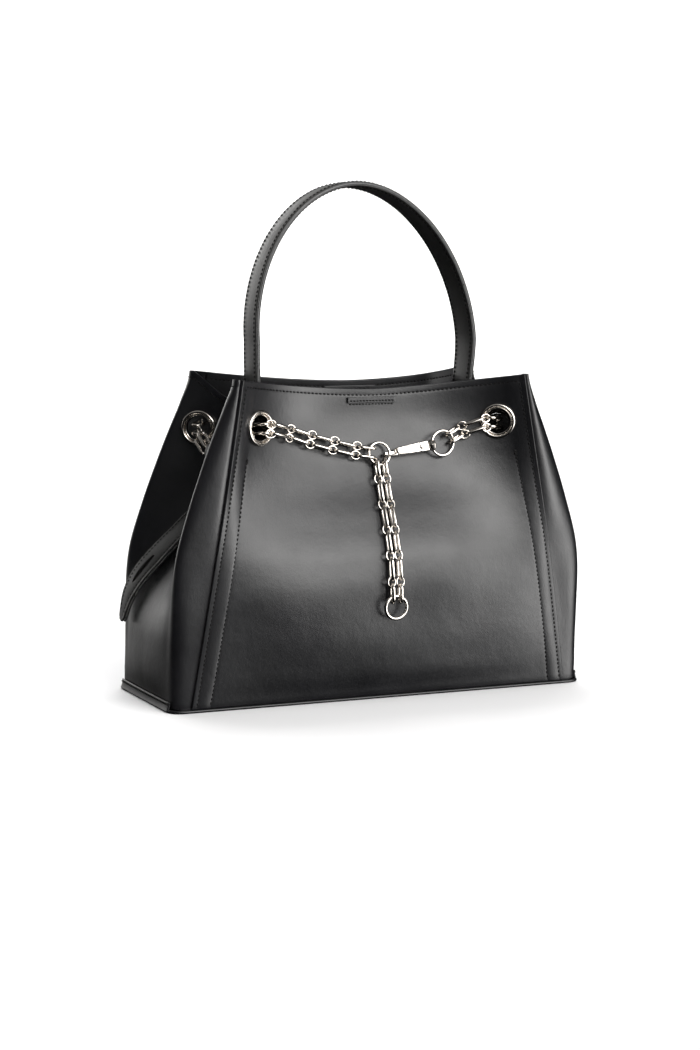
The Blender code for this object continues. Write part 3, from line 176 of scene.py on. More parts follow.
def skin_normal(q, z, side, face):
    step = 0.002
    before, after = (q, q + step) if q in (0, 1, 2) else (q - step, q)
    along = skin_place(after, z, side, face) - skin_place(before, z, side, face)
    up = skin_place(q, z + 0.0003, side, face) - skin_place(q, z - 0.0003, side, face)
    return unit(np.cross(along, up) * side * -face)


def level_skin(q, z, side, face, out):
    normal = skin_normal(q, z, side, face)
    return skin_place(q, z, side, face) + out * unit(normal * (1, 1, 0))


def top_height(q, face):
    """How high the shell's edge is: the back stands a little higher than the front."""
    corner = BODY_HEIGHT + (BACK_RISE if face > 0 else 0)
    if q <= 1:
        return corner - (FACE_DIP if face < 0 else BACK_DIP) * (1 - q**1.6)
    if q >= 2:
        return lerp(BODY_HEIGHT - GUSSET_DIP, corner, (3 - q) ** 2)
    return corner


# ---------------- materials


def fill(node, **values):
    for key, value in values.items():
        node.inputs[key.replace("_", " ")].default_value = value


class Look:
    """A node material. Values that are the same all over go on the shader's own sockets."""

    def __init__(self, name, **values):
        self.made = bpy.data.materials.new(name)
        self.made.use_nodes = True
        self.tree = self.made.node_tree
        self.shader = self.tree.nodes["Principled BSDF"]
        fill(self.shader, **values)

    def node(self, kind, source=None, socket="Vector", **values):
        """A node that takes the source, or the place on the object, at a socket."""
        made = self.tree.nodes.new("ShaderNode" + kind)
        fill(made, **values)
        source = source or self.tree.nodes.new("ShaderNodeTexCoord").outputs["Object"]
        self.tree.links.new(source, made.inputs[socket])
        return made

    def noise(self, scale, detail=3, roughness=0.5, stretch=None):
        source = self.node("Mapping", Scale=stretch).outputs["Vector"] if stretch else None
        return self.node("TexNoise", source, Scale=scale, Detail=detail, Roughness=roughness).outputs["Fac"]

    def wave(self, direction, scale, distortion):
        made = self.node("TexWave", Scale=scale, Distortion=distortion, Detail=1)
        made.bands_direction = direction
        return made.outputs["Fac"]

    def shader_takes(self, socket, source):
        self.tree.links.new(source, self.shader.inputs[socket])

    def colour(self, source, low, high):
        made = self.node("ValToRGB", source, "Fac")
        for element, position, value in zip(made.color_ramp.elements, (0.35, 0.65), (low, high)):
            element.position = position
            element.color = (*value, 1)
        self.shader_takes("Base Color", made.outputs["Color"])

    def rough(self, source, low, high):
        made = self.node("MapRange", source, "Value", From_Min=0.3, From_Max=0.7, To_Min=low, To_Max=high)
        self.shader_takes("Roughness", made.outputs["Result"])

    def bumps(self, *layers):
        """Each layer is (source, strength, distance) and lies on the ones before it."""
        below = None
        for source, strength, distance in layers:
            made = self.node("Bump", source, "Height", Strength=strength, Distance=distance)
            if below:
                self.tree.links.new(below, made.inputs["Normal"])
            below = made.outputs["Normal"]
        self.shader_takes("Normal", below)


def leather(name, dark, light, rough_low, rough_high, grain=0.25):
    """Smooth calf leather: faint pores and creases, and a sheen that varies over the hide."""
    look = Look(name, Coat_Weight=0.1, Coat_Roughness=0.22, Specular_IOR_Level=0.5)
    look.colour(look.noise(14, 4), dark, light)
    look.rough(look.noise(38, 5, 0.6), rough_low, rough_high)
    pores = look.node("TexVoronoi", Scale=1500).outputs["Distance"]
    creases = look.noise(420, 6, 0.65, (1, 1, 0.7))
    look.bumps((look.noise(60), 0.12, 0.002), (creases, grain, 0.0004), (pores, grain * 0.6, 0.0002))
    return look.made


def metal(name, colour, low, high, scratch=0.05):
    """Plated metal with faint wear in its polish."""
    look = Look(name, Metallic=1)
    look.colour(look.noise(90), tuple(c * 0.93 for c in colour), colour)
    worn = look.noise(700, 5, 0.6, (1, 1, 3))
    look.rough(worn, low, high)
    look.bumps((worn, scratch, 0.0001))
    return look.made


def cloth(name, dark, light):
    """Fine twill: two crossed waves for the weave, and a soft fuzz."""
    look = Look(name, Sheen_Weight=0.3)
    fuzz = look.noise(40, 4)
    look.colour(fuzz, dark, light)
    look.rough(fuzz, 0.78, 0.92)
    look.bumps((look.wave("DIAGONAL", 900, 0.6), 0.4, 0.0003), (look.wave("Z", 700, 0.5), 0.3, 0.0003))
    return look.made


def thread(name):
    """Dull waxed thread with its twist."""
    look = Look(name, Roughness=0.62, Specular_IOR_Level=0.25)
    twist = look.wave("DIAGONAL", 1600, 0.4)
    look.colour(twist, (0.002,) * 3, (0.006,) * 3)
    look.bumps((twist, 0.5, 0.0001))
    return look.made


def paint(name, dark, light):
    """Edge paint: a rounded, slightly glossy skin over the cut leather."""
    look = Look(name, Coat_Weight=0.3, Coat_Roughness=0.2)
    ripple = look.noise(260, 4)
    look.colour(ripple, dark, light)
    look.rough(ripple, 0.24, 0.36)
    look.bumps((ripple, 0.2, 0.0004))
    return look.made


def board_material():
    look = Look("stiffening_board", Roughness=0.9)
    fibres = look.noise(350, 6, 0.7, (1, 3, 1))
    look.colour(fibres, (0.20, 0.17, 0.14), (0.30, 0.27, 0.22))
    look.bumps((fibres, 0.4, 0.0003))
    return look.made


BODY = leather("body_leather", (0.0045, 0.0046, 0.0056), (0.0080, 0.0081, 0.0096), 0.30, 0.38)
TRIM = leather("trim_leather", (0.006, 0.006, 0.007), (0.010, 0.010, 0.0115), 0.38, 0.50, grain=0.3)
STRAP = leather("strap_leather", (0.010, 0.010, 0.010), (0.017, 0.017, 0.016), 0.36, 0.46)
EDGE = paint("edge_paint", (0.010, 0.010, 0.011), (0.020, 0.020, 0.021))
# The tag's edge paint is coloured paler as a painted highlight, for the light caught on its rounded edges.
EDGE_HIGHLIGHT = paint("edge_paint_painted_highlight", (0.05, 0.05, 0.048), (0.09, 0.09, 0.085))
THREAD = thread("stitch_thread")
LINING = cloth("lining_cloth", (0.012, 0.012, 0.013), (0.024, 0.024, 0.025))
BRIGHT = metal("chain_metal", (0.95, 0.90, 0.84), 0.14, 0.22)
EYELET = metal("eyelet_metal", (0.90, 0.85, 0.79), 0.12, 0.20)
# Dark metal for the clasp's lines and pins; on the eyelets' tubes and washers the dark is painted shade
# inside the bore.
DARK_AND_SHADE_METAL = metal("dark_metal_and_painted_shade", (0.05, 0.048, 0.045), 0.35, 0.5, 0.1)
MAGNET = metal("magnet_metal", (0.55, 0.54, 0.52), 0.22, 0.36, 0.1)
BOARD = board_material()

# ---------------- mesh helpers


def placed(name, data):
    made = bpy.data.objects.new(name, data)
    bpy.context.scene.collection.objects.link(made)
    return made


def link_object(name, mesh, look, body, slot, nodes, sharp):
    mesh.materials.clear()
    mesh.materials.append(look)
    mesh.shade_smooth()
    mesh.set_sharp_from_angle(angle=radians(sharp))
    made = placed(name, mesh)
    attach(made, body)
    if nodes:
        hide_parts(*nodes)
    return made


def applied(mesh, *modifiers):
    """The mesh with modifiers baked into it: each is (kind, settings)."""
    made = placed(mesh.name, mesh)
    for kind, settings in modifiers:
        modifier = made.modifiers.new(kind.lower(), kind)
        for key, value in settings.items():
            setattr(modifier, key, value)
    bpy.context.view_layer.update()
    baked = bpy.data.meshes.new_from_object(made.evaluated_get(bpy.context.evaluated_depsgraph_get()))
    bpy.data.objects.remove(made, do_unlink=True)
    return baked


def rounded(mesh, width, angle, segments=3):
    """The mesh with its edges rounded where they turn by more than the angle, in degrees."""
    limit = {"limit_method": "ANGLE", "angle_limit": radians(angle)}
    return applied(mesh, ("BEVEL", {"width": width, "segments": segments, **limit}))


def cut(mesh, cutters):
    """The mesh less its cutters, which are used up."""
    settings = {"operation": "DIFFERENCE", "solver": "EXACT"}
    mesh = applied(mesh, *[("BOOLEAN", {**settings, "object": cutter}) for cutter in cutters])
    for cutter in cutters:
        bpy.data.objects.remove(cutter, do_unlink=True)
    return mesh


def mesh_of(name, verts, faces):
    mesh = bpy.data.meshes.new(name)
    mesh.from_pydata([tuple(float(c) for c in v) for v in verts], [], faces)
    mesh.update()
    return mesh


def weld(mesh):
    work = bmesh.new()
    work.from_mesh(mesh)
    bmesh.ops.remove_doubles(work, verts=work.verts, dist=1e-6)
    bmesh.ops.recalc_face_normals(work, faces=work.faces)
    if work.calc_volume(signed=True) < 0:
        bmesh.ops.reverse_faces(work, faces=work.faces)
    work.to_mesh(mesh)
    work.free()
    return mesh


class Builder:
    """Collects many small closed forms into one mesh."""

    def __init__(self):
        self.verts = []
        self.faces = []

    def loops(self, rings, closed=False):
        """A skin over rings of points, capped at both ends or closed on itself."""
        start, count, n = len(self.verts), len(rings), len(rings[0])
        self.verts += [tuple(p) for ring in rings for p in ring]
        for k in range(count if closed else count - 1):
            a, b = start + k * n, start + (k + 1) % count * n
            self.faces += [(a + j, b + j, b + (j + 1) % n, a + (j + 1) % n) for j in range(n)]
        if not closed:
            first, last = range(start, start + n), range(start + (count - 1) * n, start + count * n)
            self.faces += [list(first), list(reversed(last))]

    def tube(self, points, radius, sides, closed=False, hint=(0, 0, 1)):
        before, after = (points[-1], points[0]) if closed else (points[0], points[-1])
        padded = np.array([before, *points, after], float)
        normal = np.asarray(hint, float)
        rings = []
        for before, point, after in zip(padded, padded[1:], padded[2:]):
            along = unit(after - before)
            normal = unit(normal - along * np.dot(normal, along))
            side = np.cross(along, normal)
            rings.append([point + radius * (cos(t) * normal + sin(t) * side) for t in full_turn(sides)])
        self.loops(rings, closed)

    def turned(self, profile, place, axis, rounds):
        """A profile of (radius, height) turned round an axis."""
        z = unit(axis)
        x = unit(np.cross((0, 0, 1), z))
        y = np.cross(z, x)
        ways = [cos(t) * x + sin(t) * y for t in full_turn(rounds)]
        self.loops([[place + r * way + h * z for r, h in profile] for way in ways], closed=True)

    def mesh(self, name):
        return weld(mesh_of(name, self.verts, self.faces))

    def object(self, name, look, body, slot, nodes=(), sharp=40):
        return link_object(name, self.mesh(name), look, body, slot, nodes, sharp)


def turned_piece(
    profile, place, axis, rounds, name, look, slot="chain_metal", nodes=(), body="bag", sharp=50
):
    builder = Builder()
    builder.turned(profile, place, axis, rounds)
    builder.object(name, look, body, slot, nodes, sharp)


def resampled(points, step):
    points = np.asarray(points, float)
    lengths = np.concatenate([[0], np.cumsum(np.linalg.norm(np.diff(points, axis=0), axis=1))])
    count = max(2, int(round(lengths[-1] / step)))
    at = np.linspace(0, lengths[-1], count + 1)
    return np.stack([np.interp(at, lengths, points[:, i]) for i in range(3)], axis=1)


STITCH_PITCH, STITCH_LENGTH, STITCH_RADIUS = 0.0031, 0.0020, 0.00052
# Sections of a stitch: place along its length, share of its radius, and height in radii
STITCH_FORM = ((-0.5, 0.55, -0.35), (-0.36, 0.95, 0.3), (0, 1, 0.5), (0.36, 0.95, 0.3), (0.5, 0.55, -0.35))


def stitches(builder, points, normals, pitch=STITCH_PITCH, length=STITCH_LENGTH, radius=STITCH_RADIUS):
    """A row of thread stitches along a dense route, whose normals give the way out of the leather."""
    points = np.array(points)
    marks = resampled(points, pitch)
    for start, end in zip(marks, marks[1:]):
        middle = (start + end) / 2
        along = unit(end - start)
        out = normals[int(np.argmin(np.sum((points - middle) ** 2, axis=1)))]
        along = unit(along + 0.10 * np.cross(along, out))
        across = unit(np.cross(along, out))
        rings = []
        for s, share, height in STITCH_FORM:
            centre = middle + along * s * length + out * height * radius
            ways = [cos(t) * across + 0.8 * sin(t) * out for t in full_turn(6)]
            rings.append([centre + radius * share * way for way in ways])
        builder.loops(rings)


GROOVE_WIDTH, GROOVE_DEPTH = 0.0009, 0.00016


def groove(distance):
    """The dent that a stitch row presses into the leather."""
    return -GROOVE_DEPTH * exp(-((distance / GROOVE_WIDTH) ** 2))


# ---------------- leather shell

SEAM_STITCH = 0.0036
TOP_STITCH = 0.0044
SECOND_STITCH = 0.0132
SECOND_TOP = 0.171
EDGE_ROUND = 0.42
FACING_LOW = 0.67


def leather_skin(name, columns, rows_of, mid, thick, look, slot, node_name, relief=None, holes=()):
    """A sheet of leather along the shell with rounded edges.

    columns are functions of the height that give (q, side, face); rows_of gives a column's heights.
    """
    verts = []
    for column in columns:
        heights = rows_of(column)
        count = len(heights)
        for z in heights:
            q, side, face = column(z)
            out = mid + (relief(q, z, side, face) if relief else 0)
            verts.append(level_skin(q, z, side, face, out))
    faces = []
    for i in range(len(columns) - 1):
        for a in range(i * count, (i + 1) * count - 1):
            b = a + count
            faces.append((a, b, b + 1, a + 1))
    even = {"use_even_offset": True, "use_quality_normals": True}
    mesh = applied(mesh_of(name, verts, faces), ("SOLIDIFY", {"thickness": thick, "offset": 0, **even}))
    mesh = rounded(weld(mesh), thick * EDGE_ROUND, 50)
    cutters = []
    for place, axis, radius in holes:
        bpy.ops.mesh.primitive_cylinder_add(vertices=48, radius=radius, depth=0.012, location=place)
        cutters.append(bpy.context.object)
        cutters[-1].rotation_euler = Vector(axis).normalized().to_track_quat("Z", "Y").to_euler()
    if cutters:
        mesh = cut(mesh, cutters)
    link_object(name, mesh, look, "bag", slot, [node_name], sharp=50)


def fixed(q, side, face):
    return lambda z: (q, side, face)


def inset(distance, side, face):
    return lambda z: (1 - distance / seam_half_width(z), side, face)


def across_face(reach, count, face):
    """Columns across the middle of a face, out to the reach on both sides."""
    left = [fixed(q, -1, face) for q in np.linspace(reach, 0, count)]
    return left + [fixed(q, 1, face) for q in np.linspace(0, reach, count)[1:]]


def round_side(places, side):
    """Columns round one end of the shell, from front to back."""
    return [fixed(q, side, -1) for q in places] + [fixed(q, side, 1) for q in reversed(places[:-1])]


def tenths(*values):
    """Lengths given in tenths of a millimetre."""
    return [value / 1e4 for value in values]


edge_insets = tenths(0, 6, 14, 24, 29, 33, 36, 39, 43, 50, 65, 90, 115, 124, 128, 132, 136, 140, 150, 170)
inner_places = np.linspace(0.82, 0, 30)
top_drops = tenths(150, 110, 85, 65, 54, 49, 44, 39, 34, 24, 14, 6, 0)
gusset_drops = tenths(120, 85, 54, 49, 44, 39, 34, 24, 12, 0)


def face_columns(face):
    half = [(inset, d) for d in edge_insets] + [(fixed, q) for q in inner_places]
    left = [kind(v, -1, face) for kind, v in half]
    return left + [kind(v, 1, face) for kind, v in reversed(half[:-1])]


def rows_up(count, drops, low_share=0):
    """Heights of a column: evenly up to the first drop under its top, then at each other drop."""

    def rows(column):
        q, _, face = column(BODY_HEIGHT)
        top = top_height(q, face)
        low = lerp(BODY_BOTTOM, top, low_share)
        return [*np.linspace(low, top - drops[0], count)] + [top - d for d in drops[1:]]

    return rows


# Soft swells of the front: how far out, the middle (x, z), and the reach (x, z)
front_swells = (
    (-0.0012, -0.050, 0.125, 0.034, 0.045),
    (0.0010, -0.078, 0.075, 0.030, 0.040),
    (0.0009, 0.060, 0.115, 0.045, 0.040),
    (-0.0008, 0.020, 0.060, 0.030, 0.040),
)


def face_relief(q, z, side, face):
    """Grooves under the stitch rows, the raised strip between them, and the soft hollows and swells."""
    seam = seam_half_width(z)
    inset_now = (1 - q) * seam
    drop = top_height(q, face) - z
    relief = groove(inset_now - SEAM_STITCH) + groove(drop - TOP_STITCH)
    if z < SECOND_TOP:
        relief += groove(inset_now - SECOND_STITCH)
    x = side * q * seam
    relief += 0.00045 * exp(-(((inset_now - 0.0084) / 0.0040) ** 2))
    if face < 0:
        for swell, mid_x, mid_z, reach_x, reach_z in front_swells:
            relief += swell * exp(-(((x - mid_x) / reach_x) ** 2) - ((z - mid_z) / reach_z) ** 2)
    border = min(1, max(0, inset_now / 0.02)) * min(1, max(0, z / 0.03))
    return relief + 0.0004 * sin(x * 61 + z * 23) * sin(z * 47 - x * 19 + 1.3) * border


# Each eyelet's place, its axis, how far out it sits, and what it is set in
eyelet_spots = {
    "front_left_eyelet": ((-0.092369, -0.05049, 0.1925), (0.44503, -0.89538, 0.015598), 0.0023, "face"),
    "left_front_fold_eyelet": ((-0.100104, -0.037973, 0.1885), (-0.647645, 0.755406, 0.099591), 0, "fold"),
    "back_left_eyelet": ((-0.098036, 0.028767, 0.1925), (0.481536, 0.870309, 0.103368), 0.0023, "face"),
    "left_back_fold_eyelet": ((-0.108284, 0.020046, 0.1885), (-0.567922, -0.822551, 0.029563), 0, "fold"),
}
for name, (place, axis, out, kind) in list(eyelet_spots.items()):
    other = name.replace("left", "right")
    eyelet_spots[other] = ((-place[0], *place[1:]), (-axis[0], *axis[1:]), out, kind)


def holes_for(*names):
    return [(*eyelet_spots[name + "_eyelet"][:2], 0.0104) for name in names]


def facing_relief(q, z, side, face):
    top = top_height(q, face)
    return -groove(top - z - TOP_STITCH) - groove(z - lerp(BODY_BOTTOM, top, FACING_LOW) - 0.003)


for face, word in FACES:
    name, holes = f"{word}_panel", holes_for(f"{word}_left", f"{word}_right")
    sheet = (face_columns(face), rows_up(46, top_drops), 0.0013, 0.0020, BODY, "body_leather")
    leather_skin(name + "_leather", *sheet, name, face_relief, holes)
for face, word in FACES:
    name, holes = f"{word}_facing", holes_for(f"{word}_left", f"{word}_right")
    rows = rows_up(12, top_drops, FACING_LOW)
    sheet = (across_face(0.92, 30, face), rows, -0.0010, 0.0018, TRIM, "trim_leather")
    leather_skin(name + "_leather", *sheet, name, facing_relief, holes)


def gusset_relief(q, z, side, face):
    drop = top_height(q, face) - z
    soft = 0.00022 * sin(z * 34 + q * 2.1) * sin(q * 3.3 + 0.6) * min(1, max(0, (q - 1) / 0.4))
    crease = -0.0006 * exp(-(((q - 2.02) / 0.10) ** 2)) * exp(-(((z - 0.060) / 0.030) ** 2))
    return groove(drop - TOP_STITCH) + soft + crease


BAND_START = 1.7
BAND_STITCH = 0.0058
band_heights = tenths(5, 12, 20, 28, 36, 45, 53, 60, 67, 75)


def band_relief(q, z, side, face):
    """A stitch row's groove, and the flare at the foot."""
    return groove(z - BAND_STITCH) + 0.0015 * max(0, 1 - z / 0.005) ** 1.5


gusset_places = [0.925, 0.95, 0.975, 1, *np.linspace(1, 2, 15)[1:], *np.linspace(2, 3, 15)[1:]]
band_places = [q for q in gusset_places if q > BAND_START]
for side, word in SIDES:
    name, holes = f"{word}_gusset", holes_for(f"{word}_front_fold", f"{word}_back_fold", f"back_{word}")
    rows = rows_up(52, gusset_drops)
    sheet = (round_side(gusset_places, side), rows, -0.0010, 0.0020, BODY, "body_leather")
    leather_skin(name + "_leather", *sheet, name, gusset_relief, holes)
    name = f"{word}_base_band"
    columns = round_side(band_places, side)
    sheet = (columns, lambda column: band_heights, 0.0012, 0.0016, TRIM, "trim_leather")
    leather_skin(name + "_leather", *sheet, name, band_relief)


def round_plan(across, corner, along):
    """(q, side, face) once round the shell, with so many places across a half face and so on."""
    half = [*np.linspace(0, 1, across), *np.linspace(1, 2, corner)[1:], *np.linspace(2, 3, along)[1:]]
    found = []
    for side, face, step in ((1, -1, 1), (1, 1, -1), (-1, 1, 1), (-1, -1, -1)):
        found += [(q, side, face) for q in half[::step][:-1]]
    return found


def make_base():
    """The base leather: a flat sheet whose painted rim rounds out under the walls."""
    rim = ((0.0014, 0), (0.0021, 0.0003), (0.0026, 0.0012), (0.0021, 0.0021), (0.0014, 0.0024))
    rings = []
    for out, z in ((-0.02, 0), *rim, (-0.02, 0.0024)):
        places = [level_skin(q, BODY_BOTTOM, side, face, out) for q, side, face in round_plan(14, 8, 10)]
        rings.append([(x, y, z) for x, y, _ in places])
    builder = Builder()
    builder.loops(rings)
    builder.object("base_leather", BODY, "bag", "body_leather", ["base_panel"], sharp=60)


make_base()
# How much of the shell's height the lining has, and its rows
LINING_TOP, LINING_ROWS = 0.72, 24
LINING_THICK, LINING_LIFT, LINING_IN = 0.0008, 0.0027, 0.0026


def make_lining():
    """The lining: a slack cloth sack with soft vertical folds, sewn along the facings' lower edge."""
    loops = []
    for depth in (0, LINING_THICK):
        rows = []
        for k in range(LINING_ROWS + 1):
            share = LINING_TOP * k / LINING_ROWS
            slack = sin(pi * min(1, share / LINING_TOP)) ** 0.7
            row = []
            for index, (q, side, face) in enumerate(round_plan(26, 8, 12)):
                z = lerp(BODY_BOTTOM + LINING_LIFT, top_height(q, face), share) + depth
                wave = 0.0012 * sin(index * 0.55) + 0.0008 * sin(index * 0.23 + share * 9)
                ease = (LINING_IN + 0.0030 * slack + wave * slack) * (0.55 if share > 0.6 else 1)
                row.append(level_skin(q, z, side, face, -LINING_IN - ease - depth))
            rows.append(row)
        loops.append(rows)
    builder = Builder()
    builder.loops(loops[0] + loops[1][::-1])
    builder.object("lining_cloth", LINING, "bag", "lining_cloth", ["lining"], sharp=60)


make_lining()


def patch(name, half, low, high, mid, thick, face, look, node_name):
    """A small patch of leather on the middle of the front or the back."""
    columns = across_face(half / seam_half_width(high), 12, face)
    rows = np.linspace(low, high, 14)
    leather_skin(name, columns, lambda column: rows, mid, thick, look, "trim_leather", node_name)


MIDDLE_TOP = BODY_HEIGHT - FACE_DIP
middle_tops = {-1: MIDDLE_TOP, 1: BODY_HEIGHT + BACK_RISE - BACK_DIP}
low, high = MIDDLE_TOP - 0.0097, MIDDLE_TOP - 0.0055
patch("closure_welt", 0.0185, low, high, 0.0036, 0.0011, -1, BODY, "front_welt")
for face, word in FACES:
    low, high = MIDDLE_TOP - 0.0295, middle_tops[face] - 0.0035
    patch(f"{word}_patch_leather", 0.020, low, high, -0.0032, 0.0012, face, TRIM, f"{word}_magnet_patch")


# ---------------- stitches on the shell


# How far out of the shell's skin the rows lie
PANEL_ROW, BAR_ROW, WELT_ROW, BAND_ROW = 0.0023, 0.0025, 0.0041, 0.0020
FACING_ROW, PATCH_ROW = -0.0019, -0.0039
FINE_PITCH, BAR_PITCH = 0.0026, 0.0016


def sew(name, rows):
    """One piece of stitch rows: each is (q, z) places of the shell, side, face, level and its pitch."""
    builder = Builder()
    for places, side, face, out, *pitch in rows:
        points = [level_skin(q, z, side, face, out) for q, z in places]
        normals = np.array([skin_normal(q, z, side, face) for q, z in places])
        stitches(builder, points, -normals if out < 0 else normals, *pitch)
    builder.object(name + "_stitches", THREAD, "bag", "trim_leather")


def beside_seam(distance, heights):
    return [(1 - distance / seam_half_width(z), z) for z in heights]


def under_edge(face, start, reach, count):
    return [(q, top_height(q, face) - TOP_STITCH) for q in np.linspace(start, reach, count)]


def near_mouth(z, half):
    """Places level across the middle of a face, near the mouth."""
    return [(q, z) for q in np.linspace(0, half / seam_half_width(MIDDLE_TOP), 8)]


def face_rows(face):
    """Rows along the seams and the edge. Each second row ends in a bar of three short rows."""
    low = BODY_BOTTOM + 0.002
    for side in (-1, 1):
        yield beside_seam(SEAM_STITCH, np.linspace(low, BODY_HEIGHT - 0.0055, 90)), side, face, PANEL_ROW
        yield beside_seam(SECOND_STITCH, np.linspace(low, SECOND_TOP, 70)), side, face, PANEL_ROW
        for k in (-1, 0, 1):
            bar = beside_seam(SECOND_STITCH + 0.0004 * k, (0.1685, 0.1700, 0.1718))
            yield bar, side, face, BAR_ROW, BAR_PITCH
        yield under_edge(face, 0, 0.962, 60), side, face, PANEL_ROW


def inner_rows(face):
    """Rows along the facing and round the magnet's patch, seen from inside."""
    low, high = MIDDLE_TOP - 0.0270, middle_tops[face] - 0.0060
    for side in (-1, 1):
        yield under_edge(face, 0, 0.90, 50), side, face, FACING_ROW
        facing = [(q, lerp(BODY_BOTTOM, top_height(q, face), FACING_LOW)) for q in np.linspace(0, 0.90, 50)]
        yield [(q, z + 0.003) for q, z in facing], side, face, FACING_ROW
        for z in (high, low):
            yield near_mouth(z, 0.0165), side, face, PATCH_ROW
        upright = [(0.0175 / seam_half_width(z), z) for z in np.linspace(low, high, 12)]
        yield upright, side, face, PATCH_ROW


def welt_rows():
    for side in (-1, 1):
        for drop, out in ((0.0107, 0.0024), (0.0082, WELT_ROW)):
            yield near_mouth(MIDDLE_TOP - drop, 0.0170), side, -1, out, FINE_PITCH


def side_rows(side):
    for face in (-1, 1):
        yield [(q, BAND_STITCH) for q in np.linspace(1.74, 3, 60)], side, face, BAND_ROW
        yield under_edge(face, 1.05, 3, 80), side, face, 0


for face, word in FACES:
    sew(word, face_rows(face))
    sew(word + "_inner", inner_rows(face))
sew("welt", welt_rows())
for side, word in SIDES:
    sew(word + "_side", side_rows(side))


# ---------------- eyelets and rivets

EYELET_BORE, EYELET_TUBE, EYELET_RIM = 0.0092, 0.0100, 0.0125
EYELET_DOME = 0.0015
EYELET_REACH = -0.0020 - 2 * GAP - 0.0009


def eyelet_profile(seat):
    """The rim's dome, and the lip that turns into the bore."""
    bore, tube, rim = EYELET_BORE, EYELET_TUBE, EYELET_RIM
    profile = [(tube, seat - 0.0013), (rim - 0.0007, seat - 0.0012), (rim - 0.0001, seat - 0.0008)]
    for k in range(11):
        t = pi * k / 10
        across = (rim + tube) / 2 + (rim - tube) / 2 * cos(t)
        profile.append((across, seat + EYELET_DOME * sin(t) ** 0.75))
    lip = ((5, -2), (4, 3), (1, 4), (-2, 2), (-1, -6), (1, -13))
    return profile + [(tube - 0.0001, seat - 0.0002)] + [(bore + r / 1e4, seat + h / 1e4) for r, h in lip]


def make_eyelets():
    """Each eyelet has a bright domed rim with a lip, a tube through the leather, and a washer behind; tube
    and washer are coloured dark as painted shade inside the bore.

    In the folds a dark cloth disc closes the bore round the chain, put there as painted shade.
    """
    reach = EYELET_REACH
    low, high = EYELET_TUBE + GAP, EYELET_RIM - GAP
    washer = (
        *((low, 0), (low + 0.0003, -0.0002), ((low + high) / 2, -0.0003), (high - 0.0003, 0.0001)),
        *((high, 0.0006), (high - 0.0002, 0.0009), (low, 0.0009)),
    )
    washer = [(r, reach + h) for r, h in washer]
    inner, outer = 0.0003, EYELET_BORE - 0.0002
    # A dark disc across the bore, put in as painted shade.
    painted_shade_disc = [(inner, reach + 0.0006), (outer, reach + 0.0006), (outer, reach), (inner, reach)]
    for name, (place, axis, out, kind) in eyelet_spots.items():
        seat = out + (0.0016 if kind == "face" else 0.0020)
        bore, wall = EYELET_BORE, EYELET_TUBE - 0.0001
        tube = [(bore, seat - 0.0013), (wall, seat - 0.0013), (wall, reach - GAP), (bore, reach - GAP)]
        at = (place, axis)
        turned_piece(eyelet_profile(seat), *at, 64, name + "_metal", EYELET, nodes=[name], sharp=60)
        # The tube and the washer are coloured dark as painted shade inside the bore.
        turned_piece(tube, *at, 48, name + "_tube", DARK_AND_SHADE_METAL)
        turned_piece(washer, *at, 48, name + "_washer_metal", DARK_AND_SHADE_METAL, "washer_metal", [name + "_washer"])
        if kind == "fold":
            # A dark cloth disc that closes the fold eyelet's bore: painted shade.
            turned_piece(painted_shade_disc, *at, 48, name + "_backing", LINING, "lining_cloth")


make_eyelets()

# ---------------- handle

HANDLE_HALF = 0.01215
RIVET_Z = 0.186
HANDLE_SPAN = 0.0829
SPRING_Z = 0.2503
ARCH_RISE = 0.1088
ARCH_POWER = 2 / 1.932
LEG_SHIFT = 0.0016
TOP_SHIFT = -0.0091
RIVET_OUT = 0.0849552 + 0.0012918
HANDLE_AT_RIVET = 0.0849552 - 0.0020 - 0.0012918 - 0.00175
RIGHT_TWIST = radians(6)
PLY_LOW, PLY_HIGH = 0.00015, 0.00175
PLY_CROWN, PLY_EDGE = 0.00012, 0.0009
# The paint on the strap's edges: how far in its middle lies, its half width and half thickness
PAINT_INSET, PAINT_WIDE, PAINT_THICK = 0.00075, 0.00085, 0.00125
STRAP_ROW_INSET, STRAP_ROW = 0.0026, 0.00178


def handle_leg_x(side, z):
    up = min(max((z - RIVET_Z) / (SPRING_Z - RIVET_Z), 0), 1)
    return lerp(side * HANDLE_AT_RIVET, side * HANDLE_SPAN + LEG_SHIFT, sin(up * pi / 2) ** 2)


def handle_y(z):
    return centre_line(RIVET_Z) - 0.035 * (z - RIVET_Z)


def handle_line():
    """The strap's middle line from the right end to the left: (x, z, half width)."""
    ends = [radians(degrees) for degrees in (84, 74, 62, 50, 38, 25, 12, 0)]
    leg = [(RIVET_Z - HANDLE_HALF * sin(t), HANDLE_HALF * cos(t)) for t in ends]
    leg += [(lerp(RIVET_Z, SPRING_Z, k / 14), HANDLE_HALF) for k in range(1, 15)]
    right, left = ([(handle_leg_x(side, z), z, half) for z, half in leg] for side in (1, -1))
    arch = []
    for k in range(1, 70):
        angle = pi * k / 70
        rise = sin(angle) ** ARCH_POWER
        x = HANDLE_SPAN * copysign(abs(cos(angle)) ** ARCH_POWER, cos(angle))
        arch.append((x + LEG_SHIFT + TOP_SHIFT * rise, SPRING_Z + ARCH_RISE * rise, HANDLE_HALF))
    return right + arch + left[::-1]


